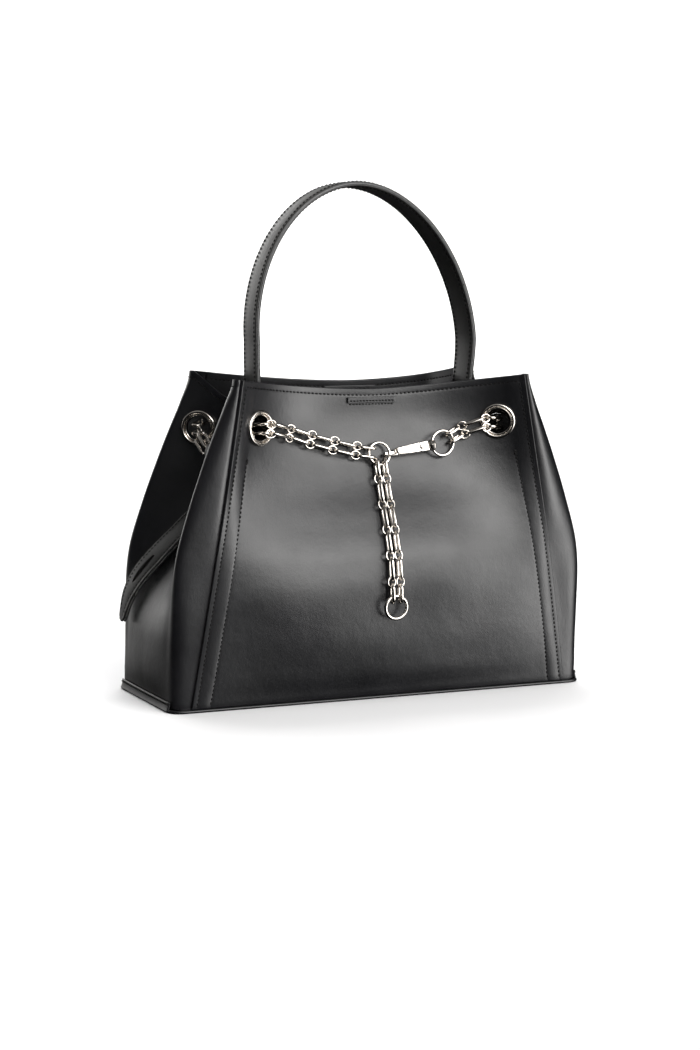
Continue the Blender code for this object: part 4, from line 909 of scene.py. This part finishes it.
def handle_frames():
    """Each place of the strap with its outward way, its way across, and its half width."""
    line = handle_line()
    frames = []
    for k, (x, z, half) in enumerate(line):
        before, after = line[max(k - 1, 0)], line[min(k + 1, len(line) - 1)]
        along = unit((after[0] - before[0], 0, after[1] - before[1]))
        out = np.array((along[2], 0, -along[0]))
        free = min(max((z - 0.200) / 0.050, 0), 1)
        lean = RIGHT_TWIST * free * min(max((x + 0.03) / 0.10, 0), 1)
        across = np.array((0, 1, 0)) * cos(lean) - out * sin(lean)
        frames.append((np.array((x, handle_y(z), z)), unit(np.cross(across, along)), across, half))
    return frames


def strap_section(place, out, across, half, edge, low, high, crown=0):
    """A ply's section, from low to high along out: round at both edges, and crowned."""
    middle, thick = (low + high) / 2, (high - low) / 2
    ring = []
    for s, start in ((1, 90), (-1, 270)):
        for j in range(7):
            t = radians(start - 30 * j)
            wide = s * (half - edge) + edge * cos(t)
            swell = crown * (1 - (wide / max(half, 1e-6)) ** 2)
            ring.append(place + wide * across + (middle + thick * sin(t) + swell) * out)
    return ring


def handle_ply(word, low, high, crown):
    """One ply of the strap: gently crowned, with rounded edges."""
    builder, rings = Builder(), []
    for place, out, across, half in handle_frames():
        edge = min(half * 0.5, PLY_EDGE)
        rings.append(strap_section(place, out, across, half, edge, low, high, crown))
    builder.loops(rings)
    node_name = f"handle_{word}_strap"
    builder.object(f"handle_{word}_leather", STRAP, "handle", "body_leather", [node_name], sharp=70)


handle_ply("outer", PLY_LOW, PLY_HIGH, PLY_CROWN)
handle_ply("inner", -PLY_HIGH, -PLY_LOW, -PLY_CROWN)


def handle_edges():
    """The painted edges that close the joint between the two plies, and a stitch row along each."""
    frames = handle_frames()[4:-4]
    painted, sewn = Builder(), Builder()
    for s in (-1, 1):
        rings = []
        for place, out, across, half in frames:
            middle = place + s * (half - PAINT_INSET) * across
            ways = [s * PAINT_WIDE * cos(t) * across + PAINT_THICK * sin(t) * out for t in full_turn(10)]
            rings.append([middle + way for way in ways])
        painted.loops(rings)
        for way in (-1, 1):
            points, normals = [], []
            for place, out, across, half in frames:
                points.append(place + s * (half - STRAP_ROW_INSET) * across + way * STRAP_ROW * out)
                normals.append(way * out)
            stitches(sewn, points, normals)
    painted.object("handle_edge_paint", EDGE, "handle", "body_leather")
    sewn.object("handle_stitches", THREAD, "handle", "body_leather")


handle_edges()


def make_rivets():
    """Each rivet has a domed head on both sides of the strap and the gusset."""
    low, high = -PLY_HIGH - 2 * GAP, RIVET_OUT - HANDLE_AT_RIVET
    head, shaft, dome = 0.0040, 0.0020, 0.0014
    rim = [(max(head * cos(radians(t)), 0.0001), dome * sin(radians(t))) for t in range(0, 91, 15)]
    profile = [(r, low - h) for r, h in reversed(rim)]
    profile += [(head, low), (shaft, low), (shaft, high), (head, high)]
    profile += [(r, high + h) for r, h in rim]
    for side, word in SIDES:
        name = f"handle_rivet_{word}"
        place = (side * HANDLE_AT_RIVET, handle_y(RIVET_Z), RIVET_Z)
        turned_piece(profile, place, (side, 0, 0), 40, name + "_metal", EYELET, nodes=[name])


make_rivets()

# ---------------- chain

LINK_WIRE = 0.0011
LINK_STRAND = 0.0031
LINK_DEPTH = 0.0029
HOOP_WIRE = 0.00064
HOOP_STRAND = 0.0033
HOOP_ALONG = 0.0034
HOOP_ASIDE = 0.00275
# How far a run's own end link reaches past its joint, where it holds a ring
END_REACH = 0.0004


def millionths(*values):
    """Points or ways, from their numbers in millionths."""
    return np.array(values).reshape(-1, 3) / 1e6


front_left_line = millionths(
    *(-2368, -45518, 172265, -11205, -45187, 173445, -19966, -45117, 175114, -28630, -45246, 177238),
    *(-37261, -45443, 179488, -45873, -45737, 181802, -54447, -46289, 184204, -62812, -47703, 186927),
    *(-71003, -50410, 189166, -79040, -53717, 191186, -86992, -53297, 192083, -93171, -47541, 191300),
)
front_right_line = millionths(
    *(54214, -47949, 180399, 61822, -47852, 184892, 69733, -50181, 188089, 77619, -53014, 190967),
    *(85926, -52771, 191919, 93171, -47541, 191300),
)
left_fold_line = millionths(
    *(-93171, -47541, 191300, -97763, -41204, 189445, -102639, -34763, 188227, -103678, -28469, 181518),
    *(-104801, -21670, 175369, -106175, -13342, 171678, -107671, -4283, 171626, -109050, 4075, 175242),
    *(-110178, 10907, 181353, -111221, 17223, 188041, -104914, 22152, 189511, -98956, 25876, 191300),
)
back_half_line = millionths(
    *(4545, 20895, 183520, 13633, 20857, 183680, 22717, 20941, 183999, 31785, 21318, 184482),
    *(40816, 22110, 185138, 49801, 23215, 185956, 58737, 24564, 186924, 67602, 26190, 188104),
    *(76185, 28582, 189859, 84537, 31472, 191977, 92531, 31349, 192520, 98956, 25876, 191300),
)
drop_line = millionths(
    *(1898, -46676, 167398, 1898, -49695, 158652, 1898, -52732, 149914, 1899, -56020, 141267),
    *(1900, -59753, 132803, 1902, -63532, 124359, 1903, -66859, 115728, 1905, -69839, 106971),
    *(1907, -72297, 98054, 1908, -73805, 88934, 1909, -74353, 79700, 1909, -74786, 70459),
)


def stations_of(places, across, lead=None, trail=None):
    """Each joint's place and way aside. The chain comes from lead and goes on to trail."""
    ways = [unit(b - a) for a, b in zip(places, places[1:])]
    first = ways[0] if lead is None else unit(places[0] - lead)
    last = ways[-1] if trail is None else unit(trail - places[-1])
    ways = [first] + ways + [last]
    found = []
    for k, place in enumerate(places):
        along = unit(ways[k] + ways[k + 1])
        found.append((place, unit(across - along * np.dot(across, along))))
    return found


def rounded_loop(half_length, half_width):
    """A stadium as (along, aside) points about its middle."""
    radius = min(half_width, half_length)
    straight = half_length - radius
    points = []
    for turn, end in ((-90, 1), (90, -1)):
        for k in range(9):
            t = radians(turn + 22.5 * k)
            points.append((end * straight + radius * cos(t), sin(t) * half_width))
    return points


def oval(half_length, half_width, steps=20):
    return [(half_length * cos(t), half_width * sin(t)) for t in full_turn(steps)]


def chain_links(name, body, stations, first_on_edge, first=0, last=None, open_start=True, open_end=True):
    """Pairs of links: stout long links on edge, held side by side by thin flat oval hoops.

    open_start and open_end say that the run's own first or last link holds something else there.
    """
    builder = Builder()
    count = len(stations) - 1
    for k in range(first, last or count):
        (start, first_side), (end, last_side) = stations[k : k + 2]
        along = unit(end - start)
        side = unit(first_side + last_side)
        side = unit(side - along * np.dot(side, along))
        out = np.cross(along, side)
        half_pitch = np.linalg.norm(end - start) / 2
        middle = (start + end) / 2
        on_edge = k % 2 == (0 if first_on_edge else 1)
        for strand in (-1, 1):
            if on_edge:
                inside = half_pitch - HOOP_ALONG + HOOP_WIRE + LINK_WIRE
                back = END_REACH if k == 0 and open_start else inside
                ahead = END_REACH if k == count - 1 and open_end else inside
                centre = middle + strand * LINK_STRAND * side + along * (ahead - back) / 2
                loop = rounded_loop(half_pitch + (back + ahead) / 2, LINK_DEPTH)
                points = [centre + a * along + b * out for a, b in loop]
                builder.tube(points, LINK_WIRE, 14, closed=True, hint=side)
            else:
                centre = middle + strand * HOOP_STRAND * side
                points = [centre + a * along + b * side for a, b in oval(HOOP_ALONG, HOOP_ASIDE)]
                builder.tube(points, HOOP_WIRE, 10, closed=True, hint=out)
    builder.object(name + "_links", BRIGHT, body, "chain_metal", [name], sharp=60)


def make_chain():
    mirror = (-1, 1, 1)
    right_fold_line = left_fold_line * mirror
    back_line = np.vstack((back_half_line[::-1] * mirror, back_half_line))
    for word, line, edge, lead, trail, open_start in (
        ("front_left", front_left_line, True, None, left_fold_line[1], True),
        ("front_right", front_right_line, True, None, right_fold_line[1], True),
        ("left_fold", left_fold_line, False, front_left_line[-2], back_line[1], False),
        ("right_fold", right_fold_line, False, front_right_line[-2], back_line[-2], False),
        ("back", back_line, True, left_fold_line[-2], right_fold_line[-2], False),
    ):
        stations = stations_of(line, (0, 0, 1), lead, trail)
        chain_links(f"chain_{word}", "bag", stations, edge, open_start=open_start, open_end=False)
    stations = stations_of(drop_line, (1, 0, 0))
    for word, first, last in (("upper", 0, 3), ("middle", 3, 7), ("lower", 7, 11)):
        chain_links(f"drop_chain_{word}", f"hanging_chain_{word}", stations, True, first, last)


make_chain()


def ring(name, centre, normal, radius, wire, body, node_name):
    profile = [(radius + wire / 2 * cos(t), wire / 2 * sin(t)) for t in full_turn(14)]
    turned_piece(profile, centre, normal, 64, name, BRIGHT, nodes=[node_name], body=body, sharp=60)


CENTRE_RING = (0.001898, -0.045676, 0.1716)
CENTRE_NORMAL = (-0.000001, -0.972812, 0.231596)
END_RING = (0.001909, -0.074624, 0.0665)
END_NORMAL = (0.000048, -0.999168, -0.040776)
CLASP_RING = (0.049732, -0.048273, 0.177803)
CLASP_NORMAL = (0.071981, -0.997406, 0.0)
ring("centre_ring_metal", CENTRE_RING, CENTRE_NORMAL, 0.0079, 0.0019, "bag", "centre_ring")
ring("hanging_ring_metal", END_RING, END_NORMAL, 0.0080, 0.0025, "hanging_ring", "drop_end_ring")
ring("clasp_ring_metal", CLASP_RING, CLASP_NORMAL, 0.0088, 0.0020, "swivel_ring", "clasp_ring")

# ---------------- clasp and magnets


def dressed(node_name, name, look, body, slot, width, segments, flat):
    """The model's own solid with its flat faces joined up and its edges rounded."""
    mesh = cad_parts[node_name].data.copy()
    work = bmesh.new()
    work.from_mesh(mesh)
    bmesh.ops.remove_doubles(work, verts=work.verts, dist=1e-6)
    limit = {"angle_limit": radians(flat), "use_dissolve_boundaries": False}
    bmesh.ops.dissolve_limit(work, verts=work.verts, edges=work.edges, **limit)
    work.to_mesh(mesh)
    work.free()
    link_object(name, rounded(mesh, width, 28, segments), look, body, slot, [node_name], sharp=32)


CLASP_START = (0.009798, -0.045676, 0.1716)
CLASP_AXES = millionths(982728, -101358, 154832, 135561, 963832, -229458, -125975, 246484, 960925)
CLASP_OUT = -CLASP_AXES[1]
CLASP_FRONT = -0.0028
HOOK_RADIUS, SLOT_LINE = 0.00075, 0.00022
# The slot's half height, the middle of its round end, and its open end
SLOT_HALF, SLOT_START, SLOT_END = 0.0017, 0.0242, 0.0277
KNOB_X, KNOB_Y = 0.0238, -0.0030
pin_places = (0.0079, 0.0119, 0.0152, 0.0206)


def clasp_point(x, y, z):
    return CLASP_START + x * CLASP_AXES[0] + y * CLASP_AXES[1] + z * CLASP_AXES[2]


def clasp_ring_section(x, front, back, half, corner):
    """A rounded oblong across the clasp."""
    points = []
    for cy, cz, start in ((back, half, 0), (front, half, 90), (front, -half, 180), (back, -half, 270)):
        for j in range(5):
            t = radians(start + 90 * j / 4)
            y, z = cy - copysign(corner, cy) + corner * cos(t), cz - copysign(corner, cz) + corner * sin(t)
            points.append(clasp_point(x, y, z))
    return points


# The housing's sections in tenths of a millimetre: place along it, front, back and half height
clasp_rows = (
    *((41, -8, 29, 19), (44, -13, 34, 23), (52, -24, 36, 26.2), (60, -27, 36, 26.8), (126, -27, 36, 29.2)),
    *((129, -25, 34, 27.6), (132, -25, 34, 27.6), (135, -28, 36, 30), (222, -28, 36, 33.2)),
    *((225, -26, 35, 31.8), (228, -28, 36, 33.4), (281, -28, 36, 35.4), (286, -26, 34, 34.4)),
    (289, -21, 29, 31),
)
hook_points = (
    *((52, -16, -16), (38, -19, -18), (16, -21, -19), (-10, -21, -18), (-30, -19, -14), (-39, -12, -8)),
    *((-41, -2, -3), (-40, 12, 0), (-36, 21, 0)),
)
# Radius and height, in tenths of a millimetre, of the small rivets' and the knob's outlines
pin_profile = ((1, -1), (1, 1.2), (2.8, 0.5), (2.8, -1))
knob_profile = ((1, -2), (12, 0), (16.5, 2), (18, 8), (15, 13), (7, 15), (1, 15.2))


def make_clasp():
    """A tapering block with a hook at its narrow end, a fine joint line and a slot for the bolt's knob."""
    housing = Builder()
    housing.loops([clasp_ring_section(*tenths(*row, 6)) for row in clasp_rows])
    hook = resampled([clasp_point(*tenths(*point)) for point in hook_points], 0.0005)
    housing.tube(hook, HOOK_RADIUS, 12, hint=CLASP_AXES[2])
    housing.object("clasp_body_metal", BRIGHT, "clasp", "chain_metal", ["clasp_body"], sharp=22)
    lines = Builder()
    slot = [(SLOT_END, SLOT_HALF)]
    for t in np.radians(np.linspace(90, 270, 19)):
        slot.append((SLOT_START + 0.0019 * cos(t), SLOT_HALF * sin(t)))
    slot.append((SLOT_END, -SLOT_HALF))
    points = resampled([clasp_point(x, CLASP_FRONT, z) for x, z in slot], 0.0003)
    lines.tube(points, SLOT_LINE, 8, hint=CLASP_AXES[1])
    for x in pin_places:
        lines.turned([tenths(*row) for row in pin_profile], clasp_point(x, CLASP_FRONT, 0), CLASP_OUT, 12)
    lines.object("clasp_lines", DARK_AND_SHADE_METAL, "clasp", "chain_metal")
    bolt = Builder()
    places = (-0.0028, -0.0025, 0.0030, 0.0065)
    bolt.loops([clasp_ring_section(x, 0.0014, 0.0027, 0.0011, 0.0003) for x in places])
    bolt.turned([tenths(*row) for row in knob_profile], clasp_point(KNOB_X, KNOB_Y, 0), CLASP_OUT, 28)
    bolt.object("clasp_bolt_metal", BRIGHT, "clasp_slide", "chain_metal", ["clasp_bolt"], sharp=45)


make_clasp()
dressed("clasp_swivel", "clasp_swivel_metal", BRIGHT, "swivel", "chain_metal", 0.0002, 2, 4)
for _, word in FACES:
    dressed(f"{word}_magnet", f"{word}_magnet_cap", MAGNET, "bag", "magnet_steel", 0.0003, 3, 2)


# ---------------- tag

TAG_PIVOT = (-0.106923, -0.008812, 0.171652)
TAG_TANGENT = (-0.16287, 0.986631, -0.005678)
TAG_WIDTH = 0.0185
TAG_SLOT = 0.68
TAG_LOW, TAG_HIGH = 0.00015, 0.00195
TAG_ROW_INSET, TAG_PITCH, TAG_STITCH, TAG_THREAD = 0.0022, 0.0030, 0.0020, 0.0003
TAG_PAINT_INSET, TAG_PAINT = 0.0005, 0.00048
tag_points = millionths(
    *(-106923, -8812, 161252, -107425, -4530, 143139, -128425, 2182, 118876, -142085, 10588, 102253),
    *(-152542, 20167, 86810, -158741, 28661, 71046, -161757, 34735, 52351),
)
# Where the tag lies on the gusset: share of the shell's height, and place from the fold's middle
tag_rest = ((0.62, 0.12), (0.513, 0.24), (0.442, 0.41), (0.376, 0.60), (0.31, 0.76), (0.23, 0.86))
tag_width_shares = (
    *((0, 0.6), (0.1, 0.8), (0.2, 0.95), (0.3, 1), (0.4, 1), (0.5, 1), (0.6, 0.98), (0.7, 0.93)),
    *((0.8, 0.84), (0.9, 0.68), (0.97, 0.5), (1, 0.3)),
)


def through(points):
    """A smooth curve through the points."""
    padded = [2 * points[0] - points[1], *points, 2 * points[-1] - points[-2]]
    dense = []
    for a, b, c, d in zip(padded, padded[1:], padded[2:], padded[3:]):
        for s in np.arange(16) / 16:
            cubic = 1.5 * (b - c) + (d - a) / 2
            dense.append(b + s * (c - a) / 2 + s**2 * (a - 2.5 * b + 2 * c - d / 2) + s**3 * cubic)
    dense.append(points[-1])
    return np.array(dense)


tag_line = resampled(through(tag_points), 0.0016)
TAG_COUNT = len(tag_line)


def tag_frame(k):
    place = tag_line[k]
    along = unit(tag_line[min(k + 2, TAG_COUNT - 1)] - tag_line[max(k - 2, 0)])
    heights, rest = zip(*tag_rest)
    w = float(np.interp(-place[2], [-height * BODY_HEIGHT for height in heights], rest))
    out = skin_normal(3 - w, place[2], -1, 1)
    across = unit(np.cross(out, along))
    return place, along, across, np.cross(along, across)


def tag_half(k):
    return TAG_WIDTH / 2 * float(np.interp(k / (TAG_COUNT - 1), *zip(*tag_width_shares)))


def tag_slot():
    """The cutter for the tag's slot."""
    place, along, across, out = tag_frame(int(TAG_SLOT * (TAG_COUNT - 1)))
    points = [place + a * along + b * across for a, b in oval(0.0135, 0.0023, 28)]
    builder = Builder()
    builder.loops([[p - 0.001 * out for p in points], [p + 0.005 * out for p in points]])
    return placed("slot", builder.mesh("slot"))


def tag_ply(word, low, high, sharp):
    rings = []
    for k in range(TAG_COUNT):
        place, along, across, out = tag_frame(k)
        rings.append(strap_section(place, out, across, tag_half(k), 0.0008, low, high))
    builder = Builder()
    builder.loops(rings)
    name = f"tag_{word}_leather"
    mesh = builder.mesh(name)
    if word == "front":
        mesh = cut(mesh, [tag_slot()])
    link_object(name, mesh, STRAP, "tag", "body_leather", [f"tag_{word}_ply"], sharp)


tag_ply("front", TAG_LOW, TAG_HIGH, 60)
tag_ply("back", -TAG_HIGH, -TAG_LOW, 70)


def tag_details():
    """The stitch row inside the tag's edge, and the painted edges of its two plies, coloured paler as a
    painted highlight.
    """
    painted, sewn = Builder(), Builder()
    for s in (-1, 1):
        points, normals, edges = [], [], {-1: [], 1: []}
        for k in range(2, TAG_COUNT - 1):
            place, along, across, out = tag_frame(k)
            half = tag_half(k)
            for ply in (-1, 1):
                level_out = ply * 0.00105 + 0.0006
                edges[ply].append(place + s * (half - TAG_PAINT_INSET) * across + level_out * out)
            if 8 <= k < TAG_COUNT - 4:
                points.append(place + s * (half - TAG_ROW_INSET) * across + TAG_HIGH * out)
                normals.append(out)
        for ply in (-1, 1):
            painted.tube(edges[ply], TAG_PAINT, 8)
        stitches(sewn, points, normals, TAG_PITCH, TAG_STITCH, TAG_THREAD)
    sewn.object("tag_stitches", THREAD, "tag", "body_leather")
    # The paler colour of these edges is a painted highlight.
    painted.object("tag_edge_paint", EDGE_HIGHLIGHT, "tag", "body_leather")


tag_details()


def softened(value):
    """Draws a round section out into a rounded oblong."""
    return copysign(abs(value) ** 0.5, value)


def make_tag_loop():
    y = unit(TAG_TANGENT)
    z = unit(np.cross((0, 0, 1), y))
    x = np.cross(y, z)
    """The loop: a short rounded tube of leather round the chain, with rounded rims."""
    long, short, thick, half = 0.0078, 0.0052, 0.0014, 0.00425
    rings = []
    for t in full_turn(40):
        section = []
        for a in full_turn(12):
            more = thick / 2 + thick / 2 * softened(cos(a))
            place = TAG_PIVOT + (long + more) * cos(t) * x + (short + more) * sin(t) * z
            section.append(place + half * softened(sin(a)) * y)
        rings.append(section)
    builder = Builder()
    builder.loops(rings, closed=True)
    builder.object("tag_loop_leather", STRAP, "tag", "body_leather", ["tag_loop"], sharp=60)


make_tag_loop()

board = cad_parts["base_board"]
board.data.materials.clear()
board.data.materials.append(BOARD)

# ---------------- floor, light and camera

CAMERA_PLACE = (-0.661, -1.512, 0.304)
CAMERA_TARGET = (-0.0006, 0, 0.1165)
CAMERA_LENS = 78.9
FLOOR_TURN = radians(-23.6)
FLOOR_HALF_WIDTH = 5
FLOOR_FRONT, FLOOR_BEND, BACKDROP_TOP = -4, 2.2, 5.0


def make_stage():
    """A pale floor that bends up into a backdrop, turned to face the camera."""
    look = Look("pale_floor", Roughness=0.9, Specular_IOR_Level=0.1)
    look.colour(look.noise(6, 2), (0.90, 0.90, 0.905), (0.92, 0.92, 0.925))
    profile = [(FLOOR_FRONT, 0), (FLOOR_BEND, 0)]
    profile += [(FLOOR_BEND + sin(radians(t)), 1 - cos(radians(t))) for t in np.linspace(7.5, 90, 12)]
    profile.append((FLOOR_BEND + 1, BACKDROP_TOP))
    turn = Matrix.Rotation(FLOOR_TURN, 3, "Z")
    verts = [turn @ Vector((x, y, z)) for x in (-FLOOR_HALF_WIDTH, FLOOR_HALF_WIDTH) for y, z in profile]
    n = len(profile)
    mesh = mesh_of("floor", verts, [(i, i + 1, n + i + 1, n + i) for i in range(n - 1)])
    mesh.materials.append(look.made)
    mesh.shade_smooth()
    floor = placed("floor", mesh)
    floor.visible_glossy = False
    floor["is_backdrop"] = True


def aimed(made, place, target):
    made.location = place
    made.rotation_euler = (Vector(target) - Vector(place)).to_track_quat("-Z", "Y").to_euler()


def light(name, place, target, power, size, size_y):
    """A soft area light that isn't seen in reflections."""
    data = bpy.data.lights.new(name, "AREA")
    data.energy = power
    data.shape = "RECTANGLE"
    data.size = size
    data.size_y = size_y
    made = placed(name, data)
    aimed(made, place, target)
    made.visible_glossy = False


# Each broad source: its azimuth from the front towards the right, its elevation, strength and tightness
lobes = (
    *((45, -12, 6.8, 40), (45, 2, 4.7, 40), (20, 14, 6.4, 40), (45, 14, 2.3, 40), (0, 26, 8.0, 40)),
    *((22, 26, 3.4, 40), (45, 27, 2.2, 40), (-150, 10, 1.8, 40), (180, 10, 4.2, 40)),
    *((180, 42, 0.5, 8), (-60, 60, 0.2, 6)),
)


def make_light():
    """A few broad soft sources, each a lobe of the world, and two area lights for the floor's white."""
    world = bpy.data.worlds.new("studio")
    bpy.context.scene.world = world
    world.use_nodes = True
    tree = world.node_tree
    background = tree.nodes["Background"]
    background.inputs["Color"].default_value = (1.0, 0.99, 0.975, 1)
    way = tree.nodes.new("ShaderNodeTexCoord").outputs["Generated"]

    def worked(kind, *values):
        """A math node on sources and numbers."""
        step = tree.nodes.new("ShaderNodeMath")
        step.operation = kind
        for socket, value in zip(step.inputs, values):
            if isinstance(value, (int, float)):
                socket.default_value = value
            else:
                tree.links.new(value, socket)
        return step.outputs["Value"]

    total = 0
    for azimuth, elevation, strength, tightness in lobes:
        turn, rise = radians(azimuth), radians(elevation)
        dot = tree.nodes.new("ShaderNodeVectorMath")
        dot.operation = "DOT_PRODUCT"
        dot.inputs[1].default_value = (sin(turn) * cos(rise), -cos(turn) * cos(rise), sin(rise))
        tree.links.new(way, dot.inputs[0])
        falls = worked("MULTIPLY", worked("SUBTRACT", dot.outputs["Value"], 1), tightness)
        total = worked("ADD", total, worked("MULTIPLY", worked("EXPONENT", falls), strength))
    tree.links.new(total, background.inputs["Strength"])
    light("wash", (0.0, 1.2, 2.6), (0, 2.5, 0.6), 60, 2.0, 1.0)
    light("floor_wash", (0.2, -0.4, 2.4), (-0.1, 0, 0), 31, 2.4, 2.4)


def make_camera():
    data = bpy.data.cameras.new("camera")
    data.lens = CAMERA_LENS
    data.sensor_width = 36
    data.sensor_fit = "AUTO"
    made = placed("camera", data)
    aimed(made, CAMERA_PLACE, CAMERA_TARGET)
    bpy.context.scene.camera = made


make_stage()
make_light()
make_camera()
bpy.context.scene.view_settings.view_transform = "Standard"

low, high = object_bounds()
